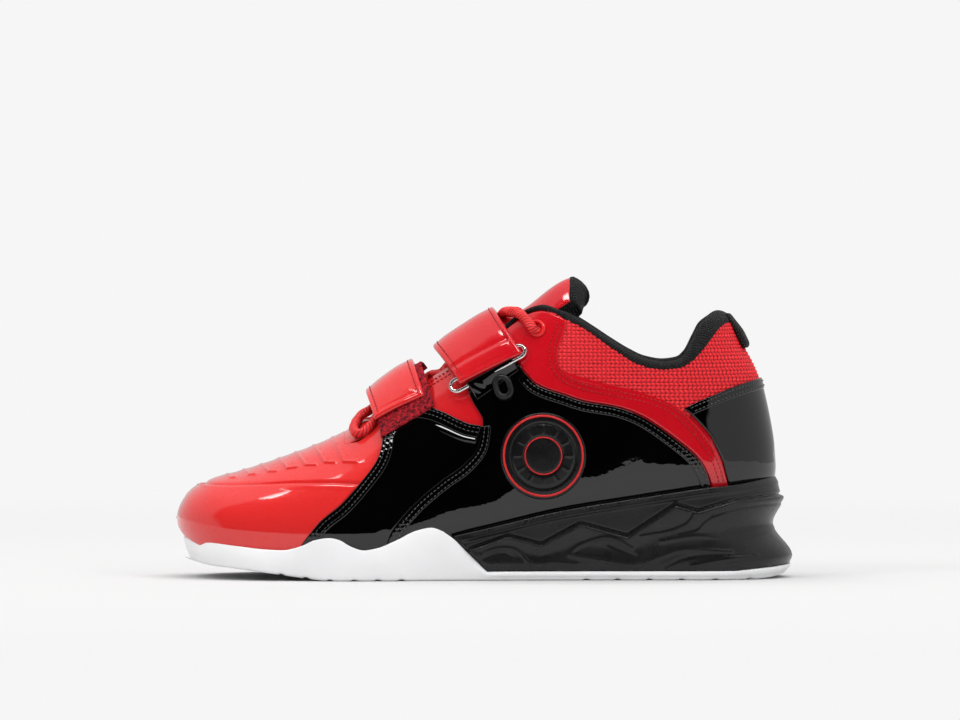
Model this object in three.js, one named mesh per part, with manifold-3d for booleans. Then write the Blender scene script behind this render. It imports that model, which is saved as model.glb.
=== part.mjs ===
// Weightlifting shoe for the left foot: raised heel, two closing straps, laced throat.
// Millimetres. The toe points to -X, the outer (lateral) side to -Y, the tread rests on Z = 0.

import * as THREE from 'three';
import Module from 'manifold-3d';

const wasm = await Module();
wasm.setup();
const { Manifold, CrossSection } = wasm;

// Driving dimensions

const TIP = -147.8;         // foremost point of the upper
const BACK = 138.4;        // rearmost point of the upper
const SOLE_BACK = 139.4;   // rearmost point of the sole's plan, before its flare
const TOE_ROUND = -95;     // the toe's plan starts to round here
const HEEL_ROUND = 92;     // the heel's plan starts to round here
const TIP_Y = 7;           // the toe's tip lies towards the inner side
const TUCK = 3.5;          // how far the upper turns in under its widest line
const WALL = 2;            // thickness of the upper
const GAP = 0.3;           // clearance between pieces that lie on each other
const LAYER = 1.4;         // outer face of the panels, above the upper
const RAND = 1.2;          // outer face of the toe's rand, above the upper
const SHEAR_START = 62;    // the slant of the heel's back fades out here
const SLANT_GAP = 0.45;    // upright clearance between outsole and heel wedge

// Small tools

// Smooth height over a table of [position, value]: cubic pieces that never overshoot.
function curve(table) {
  const n = table.length;
  const step = [];
  const slope = [];
  for (let i = 0; i < n - 1; i += 1) {
    step.push(table[i + 1][0] - table[i][0]);
    slope.push((table[i + 1][1] - table[i][1]) / step[i]);
  }
  const tangent = [slope[0]];
  for (let i = 1; i < n - 1; i += 1) {
    const same = slope[i - 1] * slope[i] > 0;
    const a = 2 * step[i] + step[i - 1];
    const b = step[i] + 2 * step[i - 1];
    tangent.push(same ? (a + b) / (a / slope[i - 1] + b / slope[i]) : 0);
  }
  tangent.push(slope[n - 2]);
  return (x) => {
    if (x <= table[0][0]) return table[0][1];
    if (x >= table[n - 1][0]) return table[n - 1][1];
    let i = 0;
    while (x > table[i + 1][0]) i += 1;
    const h = step[i];
    const t = (x - table[i][0]) / h;
    const t2 = t * t;
    const t3 = t2 * t;
    const ends = (2 * t3 - 3 * t2 + 1) * table[i][1] + (3 * t2 - 2 * t3) * table[i + 1][1];
    return ends + h * ((t3 - 2 * t2 + t) * tangent[i] + (t3 - t2) * tangent[i + 1]);
  };
}

// Straight pieces between the points of a table.
function polyline(table) {
  return (x) => {
    if (x <= table[0][0]) return table[0][1];
    const last = table.length - 1;
    if (x >= table[last][0]) return table[last][1];
    let i = 0;
    while (x > table[i + 1][0]) i += 1;
    const t = (x - table[i][0]) / (table[i + 1][0] - table[i][0]);
    return table[i][1] + t * (table[i + 1][1] - table[i][1]);
  };
}

function ramp(x, from, to) {
  const t = Math.min(1, Math.max(0, (x - from) / (to - from)));
  return t * t * (3 - 2 * t);
}

function range(from, to, count) {
  return Array.from({ length: count }, (_, i) => from + ((to - from) * i) / (count - 1));
}

function unit(v) {
  const l = Math.hypot(v[0], v[1], v[2]);
  return [v[0] / l, v[1] / l, v[2] / l];
}

function cross(a, b) {
  return [a[1] * b[2] - a[2] * b[1], a[2] * b[0] - a[0] * b[2], a[0] * b[1] - a[1] * b[0]];
}

function along(p, v, d) {
  return [p[0] + v[0] * d, p[1] + v[1] * d, p[2] + v[2] * d];
}

// The last: one surface that upper, lining, panels and the hollows of the sole share.
// Each station is a section across the shoe, from the floor edge over the ridge.

const top = curve([
  [-147.8, 28.2], [-147, 31.6], [-145, 36], [-142.3, 39.8], [-138, 43.3], [-131.3, 47.2],
  [-120, 50.3], [-108, 54], [-95, 58.5], [-80, 64.2], [-67.9, 70], [-58, 77.3], [-50, 83.8],
  [-39, 92.3], [-28, 100.2], [-19.4, 107.1], [-5, 117], [9.4, 126.3], [18.5, 132.1],
  [24.2, 136.2], [30, 140.3], [36, 144.5], [42, 148], [50, 155], [60, 164], [74, 168], [140, 168],
]);
const floor = curve([
  [-147.8, 27.9], [-147, 24.6], [-146, 22.8], [-144.5, 21], [-142.5, 19.4], [-139, 17.4],
  [-134, 15.2], [-128, 13.4], [-115, 11.2], [-100, 9.7], [-80, 9], [-60, 9.2], [-40, 10.8],
  [-20, 14], [0, 18.4], [20, 23], [40, 27.2], [60, 30.8], [80, 33.6], [100, 35.6], [120, 36.6],
  [139.4, 37],
]);
const widest = curve([
  [-147.8, 28], [-140, 27], [-120, 24], [-90, 22], [-60, 21.5], [-30, 24.5], [0, 33], [30, 43],
  [60, 50], [90, 55], [120, 58], [140, 58],
]);
const outerSide = curve([
  [-95, 46.5], [-80, 50], [-65, 51.3], [-50, 50], [-30, 46.3], [-10, 42.6], [10, 40], [30, 38.3],
  [50, 37.2], [70, 36.8], [92, 36.6], [140, 35],
]);
const innerSide = curve([
  [-95, 48.5], [-80, 49.8], [-65, 48.6], [-50, 45.8], [-30, 41], [-10, 37.4], [10, 35.6],
  [30, 35.2], [50, 35.4], [70, 36], [92, 36.2], [140, 35],
]);
const ridgeSide = curve([[-149, 7], [-95, 6], [-60, 5.5], [-20, 4.5], [20, 2], [50, 0], [140, 0]]);
const fullness = curve([[-149, 2.1], [-90, 2.1], [-60, 1.95], [-30, 1.8], [30, 1.85], [62, 2]]);
const doming = curve([[-149, 2], [20, 2], [62, 1.7], [140, 1.7]]);
const backShift = curve([
  [30, -3.6], [37, -2.6], [45, -0.7], [53, 0], [57, -0.3], [64.6, -0.9], [72, -1.9], [80, -3.3],
  [87.6, -5], [95.3, -7], [103, -10.2], [110, -14], [114.5, -16.2], [122, -19.6], [130, -23.5],
]);

function halfWidth(x, side) {
  const table = side < 0 ? outerSide : innerSide;
  const wide = side * table(x);
  if (x < TOE_ROUND) {
    const t = Math.min(1, (TOE_ROUND - x) / (TOE_ROUND - TIP));
    const edge = side * table(TOE_ROUND);
    return TIP_Y + (edge - TIP_Y) * (1 - t ** 2.15) ** (1 / 2.1);
  }
  if (x > HEEL_ROUND) {
    const t = Math.min(1, (x - HEEL_ROUND) / (BACK - HEEL_ROUND));
    return wide * (1 - t ** 2.1) ** (1 / 2.05);
  }
  return wide;
}

function shear(x, z) {
  return backShift(z) * ramp(x, SHEAR_START, BACK + 20) / ramp(BACK, SHEAR_START, BACK + 20);
}

// Height of the skin at station x; turn runs from -1 (floor edge) over 0 (widest) to 1 (ridge).
function skinHeight(x, turn) {
  const low = widest(x);
  if (turn < 0) return low + turn * (low - floor(x));
  return low + (top(x) - low) * Math.sin((turn * Math.PI) / 2) ** (2 / doming(x));
}

function skinPoint(x, side, turn) {
  const z = skinHeight(x, turn);
  const wide = halfWidth(x, side);
  const mid = ridgeSide(x) * (1 - ramp(x, 40, 60));
  let y = wide;
  if (turn < 0) {
    const tuck = Math.min(TUCK, 0.16 * Math.abs(wide - mid));
    y = wide - Math.sign(wide - mid) * tuck * turn * turn;
  } else {
    y = mid + (wide - mid) * Math.max(0, Math.cos((turn * Math.PI) / 2)) ** (2 / fullness(x));
  }
  return [x + shear(x, z), y, z];
}

// The turn at which the section of station x reaches height z.
function turnAt(x, z) {
  const low = widest(x);
  if (z < low) return -(low - z) / (low - floor(x));
  const s = Math.min(1, (z - low) / (top(x) - low));
  return (Math.asin(s ** (doming(x) / 2)) * 2) / Math.PI;
}

// The station whose section passes through position X at height z.
function stationAt(X, z) {
  let x = X;
  for (let i = 0; i < 30; i += 1) x = Math.min(BACK, x + 0.7 * (X - x - shear(x, z)));
  return x;
}

function skinNormal(x, side, turn) {
  if (x < TIP + 0.2) return [-1, 0, 0];
  if (x > BACK - 0.05) {
    const z = skinHeight(x, turn);
    const slope = (backShift(z + 1) - backShift(z - 1)) / 2;
    return unit([1, 0, -slope]);
  }
  const dx = Math.min(0.8, (x - TIP) * 0.5, (BACK - x) * 0.5);
  const a = skinPoint(x - dx, side, turn);
  const b = skinPoint(x + dx, side, turn);
  const lo = Math.max(-1, turn - 0.03);
  const hi = Math.min(1, turn + 0.03);
  const c = skinPoint(x, side, lo);
  const d = skinPoint(x, side, hi);
  const n = cross([b[0] - a[0], b[1] - a[1], b[2] - a[2]], [d[0] - c[0], d[1] - c[1], d[2] - c[2]]);
  const out = unit([n[0] * -side, n[1] * -side, n[2] * -side]);
  if (turn > 0.995) return unit([out[0], 0, out[2]]);
  return out;
}

// A point a given distance off the last.
function skin(x, side, turn, away) {
  return along(skinPoint(x, side, turn), skinNormal(x, side, turn), away);
}

// Solids

// Rings of equal count become one closed skin; open ends are closed across paired points.
function loft(rings) {
  const points = [];
  const faces = [];
  const seen = new Map();
  const index = (p) => {
    const key = p.map((v) => Math.round(v * 2000)).join(',');
    if (!seen.has(key)) {
      seen.set(key, points.length);
      points.push(p);
    }
    return seen.get(key);
  };
  const face = (a, b, c) => {
    if (a !== b && b !== c && c !== a) faces.push([a, b, c]);
  };
  const far = (a, b) => {
    const p = points[a];
    const q = points[b];
    return Math.hypot(p[0] - q[0], p[1] - q[1], p[2] - q[2]);
  };
  const quad = (a, b, c, d) => {
    if (far(a, c) <= far(b, d)) {
      face(a, b, c);
      face(a, c, d);
    } else {
      face(a, b, d);
      face(b, c, d);
    }
  };
  const rows = rings.map((ring) => ring.map(index));
  const n = rows[0].length;
  for (let i = 0; i + 1 < rows.length; i += 1) {
    for (let k = 0; k < n; k += 1) {
      const m = (k + 1) % n;
      quad(rows[i][k], rows[i][m], rows[i + 1][m], rows[i + 1][k]);
    }
  }
  const cap = (row, flip) => {
    for (let k = 0; k < Math.floor(n / 2) - 1 + (n % 2); k += 1) {
      const a = row[k];
      const b = row[k + 1];
      const c = row[n - 2 - k];
      const d = row[n - 1 - k];
      if (flip) quad(d, c, b, a);
      else quad(a, b, c, d);
    }
  };
  const first = rows[0];
  const last = rows[rows.length - 1];
  if (new Set(first).size > (n + 1) / 2) cap(first, true);
  if (new Set(last).size > (n + 1) / 2) cap(last, false);
  let volume = 0;
  for (const [a, b, c] of faces) {
    const n3 = cross(points[b], points[c]);
    volume += points[a][0] * n3[0] + points[a][1] * n3[1] + points[a][2] * n3[2];
  }
  const used = new Map();
  const kept = [];
  const slot = (i) => {
    if (!used.has(i)) {
      used.set(i, kept.length);
      kept.push(points[i]);
    }
    return used.get(i);
  };
  const tris = faces.map(([a, b, c]) => {
    return volume > 0 ? [slot(a), slot(b), slot(c)] : [slot(a), slot(c), slot(b)];
  });
  return new Manifold(new wasm.Mesh({
    numProp: 3,
    vertProperties: new Float32Array(kept.flat()),
    triVerts: new Uint32Array(tris.flat()),
  }));
}

const STATIONS = [
  -147.8, -147.1, -145.2, -142, -136.5, -128.5, -118, -106, -93, -79, -65, -51, -37, -22, -6, 11, 28,
  45, 62, 79, 93, 105, 115, 123, 129.3, 134.2, 137.3, 138.4,
];
const TURNS = [-1, -0.4, 0.05, 0.17, 0.28, 0.42, 0.6, 0.8, 1];

// The last grown by a distance, closed underneath; drop lowers its underside.
function lastSolid(away, drop) {
  return loft(STATIONS.map((x) => {
    const outer = TURNS.map((t) => skin(x, -1, t, away));
    const inner = TURNS.slice(0, -1).reverse().map((t) => skin(x, 1, t, away));
    const foot = outer[0];
    const heel = inner[inner.length - 1];
    return [[foot[0], foot[1], foot[2] - drop], ...outer, ...inner, [heel[0], heel[1], heel[2] - drop]];
  }));
}

// A block with a given outline seen from the side, from y = near to y = far.
function sideBlock(outline, near, far) {
  const flat = new CrossSection([outline], 'EvenOdd');
  return flat.extrude(far - near).rotate([90, 0, 0]).translate([0, far, 0]);
}

// Soft line through a few points, seen from the side.
function soft(points, count) {
  const path = new THREE.SplineCurve(points.map(([x, z]) => new THREE.Vector2(x, z)));
  return path.getPoints(count).map((p) => [p.x, p.y]);
}

// Sole

const soleOuter = curve([
  [-95, 49.8], [-80, 53.3], [-65, 54.7], [-50, 53.5], [-30, 50], [-10, 46.4], [10, 43.8],
  [30, 42.2], [50, 41.2], [70, 40.7], [95, 40.3], [140, 38.6],
]);
const soleInner = curve([
  [-95, 51.8], [-80, 53.1], [-65, 52], [-50, 49.3], [-30, 44.8], [-10, 41.3], [10, 39.5],
  [30, 39], [50, 39.2], [70, 39.8], [95, 40], [140, 38.6],
]);
const SOLE_TIP = -145.5;

function solePlan(x, side) {
  const table = side < 0 ? soleOuter : soleInner;
  if (x < -92) {
    const t = Math.min(1, (-92 - x) / (-92 - SOLE_TIP));
    return TIP_Y + (side * table(-92) - TIP_Y) * (1 - t ** 2.15) ** (1 / 2.1);
  }
  if (x > 93) {
    const t = Math.min(1, (x - 93) / (SOLE_BACK - 93));
    return side * table(x) * (1 - t ** 2.2) ** (1 / 2.1);
  }
  return side * table(x);
}

// A point of the sole's side: station, side, distance outside its plan, height.
function solePoint(x, side, out, z) {
  if (x <= SOLE_TIP + 0.01) return [SOLE_TIP - out, TIP_Y, z];
  if (x >= SOLE_BACK - 0.01) return [SOLE_BACK + out, 0, z];
  const d = Math.min(0.5, (x - SOLE_TIP) * 0.4, (SOLE_BACK - x) * 0.4);
  const slope = (solePlan(x + d, side) - solePlan(x - d, side)) / (2 * d);
  const l = Math.hypot(slope, 1);
  return [x + (-side * slope * side * out * side) / l, solePlan(x, side) + (side * out) / l, z];
}

const tread = curve([
  [-145.5, 9.2], [-142, 7.8], [-135, 6.7], [-125, 5.9], [-115, 5], [-100, 3.1], [-86, 1.2],
  [-74, 0], [126, 0], [133, 0.6], [139.4, 2],
]);
const whiteTop = curve([
  [-145.5, 19.4], [-139.5, 18.5], [-129, 17.4], [-117, 16], [-107, 15], [-97, 14.6], [-88, 16.8],
  [-81.5, 19.6], [-75, 20.6], [-70.5, 19.8], [-64, 16.4], [-58, 14.7], [-52, 15.6], [-42, 19.6],
  [-32, 24.2], [-25.5, 25.4], [-20.5, 23.8],
]);
const slantLine = polyline([[-20.5, 23.8], [-15, 19.9], [0.5, 4.3], [118, 4.3], [139.4, 6.6]]);
const outsoleTop = (x) => (x < -20.5 ? whiteTop(x) : slantLine(x));
const wedgeTop = curve([
  [-15.5, 21.2], [-2.6, 24.2], [9.8, 27.1], [32, 32.4], [45, 34.8], [74, 39.4], [87, 41.4],
  [103, 43.8], [120, 45.4], [139.4, 48.6],
]);
const zigzag = polyline([
  [-15, 15.5], [-9.8, 14.6], [10.8, 21.8], [26.6, 17.5], [45.4, 27.6], [67.9, 21.4], [91, 36.6],
  [101.5, 33.4], [118.3, 38.6], [139.4, 40],
]);

const rear = (x) => ramp(x, 96, 138);
const mix = (a, b, t) => a + (b - a) * t;

function sides(x, levels) {
  const outer = levels.map(([out, z]) => solePoint(x, -1, out, z));
  const inner = levels.map(([out, z]) => solePoint(x, 1, out, z));
  return [...outer, ...inner.reverse()];
}

const OUTSOLE_STATIONS = [
  -145.5, -144.6, -142.4, -138.5, -132.5, -125, -115, -105, -97, -88, -81.5, -75, -70.5, -64, -58,
  -52, -42, -32, -25.5, -20.5, -15, 0.5, 20, 45, 75, 97, 112, 122, 129.5, 134.5, 137.5, 139, 139.4,
];

function outsoleRing(x) {
  const t = rear(x);
  const high = outsoleTop(x);
  const low = tread(x);
  const toe = ramp(-x, 105, 145);
  const edge = mix(mix(0.4, 1.6, ramp(x, -20, 10)), 5.4, t) - 3 * toe;
  const lip = mix(mix(0, 2.2, ramp(x, -20, 10)), 7.6, t);
  const tall = high - low;
  return sides(x, [
    [lip, high],
    [mix(lip, edge, 0.45) + 0.5, low + 0.55 * tall],
    [edge, low + Math.min(1.4, 0.35 * tall)],
    [edge - 1.6, low],
  ]);
}

const WEDGE_STATIONS = [
  -14.9, -9.8, -4, 0.5, 10.8, 18, 26.6, 36, 45.4, 56, 67.9, 80, 91, 101.5, 110, 118.3, 126, 131.5,
  135.5, 138, 139.4,
];

function wedgeRing(x) {
  const t = rear(x);
  const low = outsoleTop(x) + SLANT_GAP;
  const high = wedgeTop(x);
  const room = ramp(high - low, 0.5, 12);
  const levels = [
    [mix(1.9, 7.2, t) * room, low],
    [mix(2.3, 8.4, t) * room, Math.min(low + 3.2, mix(low, high, 0.2))],
    [mix(1.7, -0.9, t) * room, mix(mix(low, zigzag(x), 0.55), 26, t)],
    [mix(2.4, 4.3, t) * room, zigzag(x) - 1.7],
    [mix(0.6, 2.7, t) * room, zigzag(x)],
    [mix(0.5, 1.8, t) * room, high - 4.2],
    [mix(1.7, 1.6, t) * room, high - 3],
    [mix(0.6, 0.3, t) * room, high],
  ];
  for (let k = 1; k < levels.length; k += 1) {
    const left = levels.length - 1 - k;
    const least = levels[k - 1][1] + 0.06 * room + 0.01;
    levels[k][1] = Math.min(Math.max(levels[k][1], least), high - left * 0.02);
  }
  return sides(x, levels);
}

const hollow = lastSolid(LAYER + GAP, GAP);
const lastZero = lastSolid(0, 0);

let outsole = loft(OUTSOLE_STATIONS.map(outsoleRing)).subtract(hollow);
// Grooves across the tread: place along the sole, slant
const GROOVES = [
  [-108, -9], [-93, -6], [-78, -3], [-63, 0], [-48, 3], [-33, 6], [52, 4], [66, 3], [80, 2],
  [94, 0], [108, -2], [121, -5],
];
for (const [x, bend] of GROOVES) {
  const bar = Manifold.cube([2.6, 64, 2.8], true);
  for (const side of [-1, 1]) {
    const angle = side * bend * 1.4;
    outsole = outsole.subtract(bar.rotate([0, 0, angle]).translate([x, side * 31, tread(x) - 0.2]));
  }
}
const wedge = loft(WEDGE_STATIONS.map(wedgeRing)).subtract(hollow);

// Insole

const INSOLE_RUN = [
  -131, -122, -110, -95, -79, -63, -46, -28, -8, 12, 32, 52, 72, 92, 106, 118, 127, 132.5, 135.5,
];
const insole = loft(INSOLE_RUN.map((x) => {
  const inset = -WALL - GAP - 0.8;
  const outer = skin(x, -1, -1, inset);
  const inner = skin(x, 1, -1, inset);
  const under = floor(x) + 0.05;
  const over = under + 3.4;
  return [
    [outer[0], outer[1], under], [outer[0], outer[1], over],
    [inner[0], inner[1], over], [inner[0], inner[1], under],
  ];
}));

// Upper: a hollow shell, open at the collar, along the throat and underneath

const throatEdge = [
  [-70, 76], [-67.5, 64.5], [-62, 65.5], [-49.7, 76.5], [-30, 93.5], [-19.4, 100.6], [9.4, 119],
  [19, 126], [26.6, 128.6], [32, 127.2],
];
const rollLow = curve([
  [32, 127.6], [36.7, 124.8], [46.8, 119.8], [60.7, 110.2], [74.2, 102.2], [85.2, 100],
  [94.5, 101.4], [102, 106.8], [108.2, 114.4], [113, 120.2], [119, 123], [125, 124.4],
]);
const COLLAR_STATIONS = [
  36, 42, 50, 60, 70, 79, 87, 93, 98, 103, 108, 113, 119, 125.5, 131.5, 135.6, 137.8,
];
const collarSpot = (x) => x + shear(x, 118);
const collarEdge = COLLAR_STATIONS.map((x) => {
  const low = rollLow(collarSpot(x)) - 3 * GAP;
  return [x + shear(x, low), low];
});
const opening = [[-72, 210], ...soft(throatEdge, 20), ...collarEdge, [160, 124], [160, 210]];
const openingBlock = sideBlock(opening, -70, 70);

const RAND_LINE = [
  [-150, 44], [-135.6, 43.9], [-127, 43.8], [-108.7, 44.6], [-90, 45.6], [-74, 45.8], [-63.6, 44.8],
];
const panelFront = [
  [-89, 12], [-87.8, 16.7], [-78.7, 27.8], [-68.6, 35.9], [-59.5, 46], [-52.4, 55.1],
  [-49.4, 62.2], [-48.6, 68], [-47, 72],
];
const randOutline = [
  ...soft(RAND_LINE, 8), [-71.4, 35.4], [-81.5, 27.2], [-90.7, 16], [-93, 0], [-160, 0], [-160, 44],
];
const rand = lastSolid(RAND, 0).subtract(lastSolid(-1, 0)).intersect(sideBlock(randOutline, -70, 70));
const upper = lastZero.add(rand).subtract(lastSolid(-WALL, 6)).subtract(openingBlock);

// Panels that lie on the upper, cut from one layer between two larger lasts

const layer = lastSolid(LAYER, 0).subtract(lastSolid(GAP, 2)).subtract(openingBlock);

function panel(outline, near, far) {
  return layer.intersect(sideBlock(outline, near, far));
}

const seam = [
  [-1.9, 73], [-1.9, 70.5], [-3.9, 62.2], [-11, 54.1], [-21.1, 47], [-33.2, 36.9], [-42.3, 26.8],
  [-46.3, 19.7], [-48, 13],
];
const midOutline = [
  ...soft(panelFront, 12),
  ...soft([[-44, 76.5], [-36, 79.6], [-27.1, 78.3], [-19, 75.3], [-7.9, 72.9], [-2.6, 73.2]], 8),
  ...soft(seam, 12),
];
const bandLow = [
  [15.6, 104.6], [18.8, 99.6], [23.3, 94.4], [28.4, 91.6], [37.5, 88.6], [47.6, 85.4],
  [64.6, 82.3], [79, 76], [98.2, 61.7], [105.4, 52.1], [109, 40],
];
const shiftAll = (points, dx, dz) => points.map(([x, z]) => [x + dx, z + dz]);
const rearOutline = [
  ...soft(shiftAll(seam, 0.7, 0), 12).reverse(),
  [-1.6, 77.6], [-5.6, 84], [-8.6, 90.4], [14.4, 103.2],
  ...soft(shiftAll(bandLow, -0.3, -0.5), 16),
  [104, 30], [40, 18], [-20, 6],
];
const bandHigh = [
  [38.2, 125], [38.5, 120.8], [34.8, 110], [35.8, 102], [41, 97], [50, 94.2], [64.6, 91.4],
  [80, 88], [93.4, 81.4], [107, 66.5], [113, 55], [117, 40],
];
const bandOutline = [
  ...soft(shiftAll(bandLow, 0.3, 0.2), 16),
  ...soft(bandHigh, 18).reverse(),
  [36, 135], [8, 135], [3.4, 112.5], [7.4, 104.2],
];
const counterOutline = [
  [118, 36], ...soft([[117.6, 40], [113.6, 55], [107.6, 66.5], [95, 81.4]], 8).slice(0, -1),
  [95, 82], ...soft([[96.5, 83], [108, 88], [120, 92.4], [134, 95.8]], 6), [160, 97], [160, 36],
];
const midPanelOuter = panel(midOutline, -80, -2);
const midPanelInner = panel(midOutline, 2, 80);
const rearPanelOuter = panel(rearOutline, -80, -2);
const rearPanelInner = panel(rearOutline, 2, 80);
const bandOuter = panel(bandOutline, -80, -2);
const bandInner = panel(bandOutline, 2, 80);
const counter = panel(counterOutline, -80, 80);

// Badge: a plain domed disc on the outer rear panel

const BADGE = { x: 27.6, z: 59.3, radius: 20.6 };
const badgeRound = range(0, 2 * Math.PI, 29).slice(0, -1).map((a) => {
  return [BADGE.x + BADGE.radius * Math.cos(a), BADGE.z + BADGE.radius * Math.sin(a)];
});
const badgeBand = lastSolid(2.9, 0).subtract(lastSolid(LAYER + GAP, 2));
const badge = badgeBand.intersect(sideBlock(badgeRound, -80, -2));

// Padded collar: a soft roll on the topline with its lining hanging inside

const rollHigh = curve([
  [32, 130], [39.6, 128], [46.8, 124], [60.7, 115], [68.9, 110], [77, 106.3], [85.2, 104.9],
  [92.4, 105.9], [96.2, 109], [101, 117], [104.9, 123.4], [109.7, 127.4], [114, 128.7],
  [119.3, 127.6], [125, 126.5],
]);

function collarRing(x, side) {
  const low = rollLow(collarSpot(x));
  const high = Math.max(rollHigh(collarSpot(x)), low + 2.2);
  const tall = high - low;
  const soften = ramp(x, 40, 60);
  const depth = mix(2.4, 24, soften);
  const pad = mix(1.5, 5.6, soften);
  const place = (z, away) => skin(x, side, turnAt(x, z), away);
  return [
    place(high, -0.5 * pad), place(high - 0.12 * tall, -0.2 * pad), place(low + 0.45 * tall, 0.7),
    place(low + 0.1, 0.2), place(low + 1.5, -WALL - 3 * GAP), place(low - depth, -WALL - 1.5),
    place(low - depth, -WALL - 2 - 0.1 * pad), place(low - 0.3 * depth, -WALL - pad),
    place(low + 0.2 * tall, -WALL - pad), place(high - 0.1 * tall, -0.92 * pad),
  ];
}
const collarPath = [
  ...COLLAR_STATIONS.map((x) => [x, -1]), [BACK, 1],
  ...COLLAR_STATIONS.slice().reverse().map((x) => [x, 1]),
];
const collar = loft(collarPath.map(([x, side]) => collarRing(x, side)));

// Heel tab: the collar's cloth turned down over the back

const tabOutline = [
  [116.9, 121.2], [119.4, 118.6], [125.6, 109.8], [160, 109.8], [160, 122.2], [120, 122.2],
];
const tabBand = lastSolid(2.7, 0).subtract(lastSolid(GAP, 2));
const heelTab = tabBand.intersect(sideBlock(tabOutline, -70, 70));

// Tongue

const tongueSide = curve([
  [-66, 64], [-50, 72], [-30, 84], [-10, 95.5], [10, 107], [22, 117.5], [32, 127], [41, 134],
]);
const tongue = loft([-64, -52, -40, -28, -16, -4, 8, 17, 24, 30, 35, 38.5, 40.5].map((x) => {
  const end = ramp(x, 36, 40.5);
  const thick = 5.4 + 3.4 * ramp(x, 8, 34) - 3 * end;
  const low = turnAt(x, tongueSide(x));
  const turns = range(low, 1, 5);
  const out = -WALL - GAP - 1 - 1.6 * end;
  const place = (t, side, away) => skin(x, side, t, away);
  const behind = (t) => out - thick * (t === turns[0] ? 0.45 : 1);
  const returning = turns.slice(0, -1).reverse();
  const face = [...turns.map((t) => place(t, -1, out)), ...returning.map((t) => place(t, 1, out))];
  const back = [
    ...turns.map((t) => place(t, -1, behind(t))), ...returning.map((t) => place(t, 1, behind(t))),
  ];
  return [...face, ...back.reverse()];
}));

// Straps: bands that follow the last over laces and throat

// Where a band's edge runs: it leaves the ridge at x0 and leans back by k as it comes down.
function edgeStation(x0, k, turn) {
  let x = x0;
  for (let i = 0; i < 12; i += 1) x = x0 + k * (top(x0) - skinHeight(x, turn));
  return x;
}

function band(run, columns, under, over) {
  return loft(run.map(({ side, turns }) => {
    const row = (lift) => columns.map(({ x0, k, share, crown }) => {
      const turn = mix(turns[0], turns[1], share);
      const x = edgeStation(x0, k, turn);
      return skin(x, side, turn, lift(turn, side) + crown);
    });
    const face = row(over);
    const back = row((turn, s) => under(turn, s));
    return [...face, ...back.reverse()];
  }));
}

function bandRun(frontEnd, rearEnd, root, count) {
  const outer = range(0, 1, count).map((t) => {
    return { side: -1, turns: [mix(frontEnd, 1, t), mix(rearEnd, 1, t)] };
  });
  const inner = range(0, 1, count + 2).slice(1).map((t) => {
    return { side: 1, turns: [mix(1, root, t), mix(1, root, t)] };
  });
  return [...outer, ...inner];
}

const lowerColumns = [
  { x0: -50.8, k: 0.05, share: 0, crown: -0.3 }, { x0: -41, k: 0.13, share: 0.5, crown: 0 },
  { x0: -30.6, k: 0.21, share: 1, crown: -1.4 },
];
const lowerLift = (turn) => mix(5.6, 9.9, ramp(turn, 0.45, 0.9));
const lowerRun = bandRun(turnAt(-50, 73), turnAt(-27.6, 85.6), 0.06, 7);
const lowerUnder = (turn) => lowerLift(turn) - 2.2;
const lowerStrap = band(lowerRun, lowerColumns, lowerUnder, (t) => lowerLift(t));

// The base strip beneath it carries the loop half of the fastener.
const baseColumns = [
  { x0: -50.2, k: 0.05, share: 0, crown: 0 }, { x0: -40, k: 0.13, share: 0.5, crown: 0 },
  { x0: -29.6, k: 0.21, share: 1, crown: -1.2 },
];
const baseRun = range(0, 1, 6).map((t) => ({
  side: -1,
  turns: [mix(turnAt(-49, 66.5), 0.9, t), mix(turnAt(-28, 79), 0.9, t)],
}));
const loopStrip = band(baseRun, baseColumns, (t) => lowerLift(t) - 3.9, (t) => lowerLift(t) - 2.75);

const upperColumns = [
  { x0: -17.8, k: 0.42, share: 0, crown: -0.4 }, { x0: -6, k: 0.53, share: 0.5, crown: 0 },
  { x0: 7, k: 0.64, share: 1, crown: -1 },
];
const upperOver = (turn) => mix(5.7, 7.5, ramp(turn, 0.5, 0.9));
const upperUnder = (turn, side) => {
  const thick = side < 0 ? 3.3 : mix(2.9, 3.7, ramp(turn, 0.5, 0.8));
  return upperOver(turn, side) - thick;
};
const upperRun = bandRun(turnAt(-11.5, 90), turnAt(20, 104.9), 0.08, 7);
const upperStrapFull = band(upperRun, upperColumns, upperUnder, upperOver);

// Ring between the upper strap and its anchor, standing off the outer side

const RING = { x: 2, z: 99.1, away: 3.75, half: 21, bars: 3.3, wire: 1, run: [0.87, 0.49] };

function outerSpot(X, z, away) {
  const x = stationAt(X, z);
  return skin(x, -1, turnAt(x, z), away);
}
const ringMid = outerSpot(RING.x, RING.z, RING.away);
const ringRight = outerSpot(RING.x + RING.run[0] * 14, RING.z + RING.run[1] * 14, RING.away);
const ringLeft = outerSpot(RING.x - RING.run[0] * 14, RING.z - RING.run[1] * 14, RING.away);
const ringAlong = unit(ringRight.map((value, i) => value - ringLeft[i]));
const ringOut = skinNormal(RING.x, -1, turnAt(RING.x, RING.z));
const ringUp = unit(cross(ringAlong, ringOut));
const ringFace = cross(ringUp, ringAlong);

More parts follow.
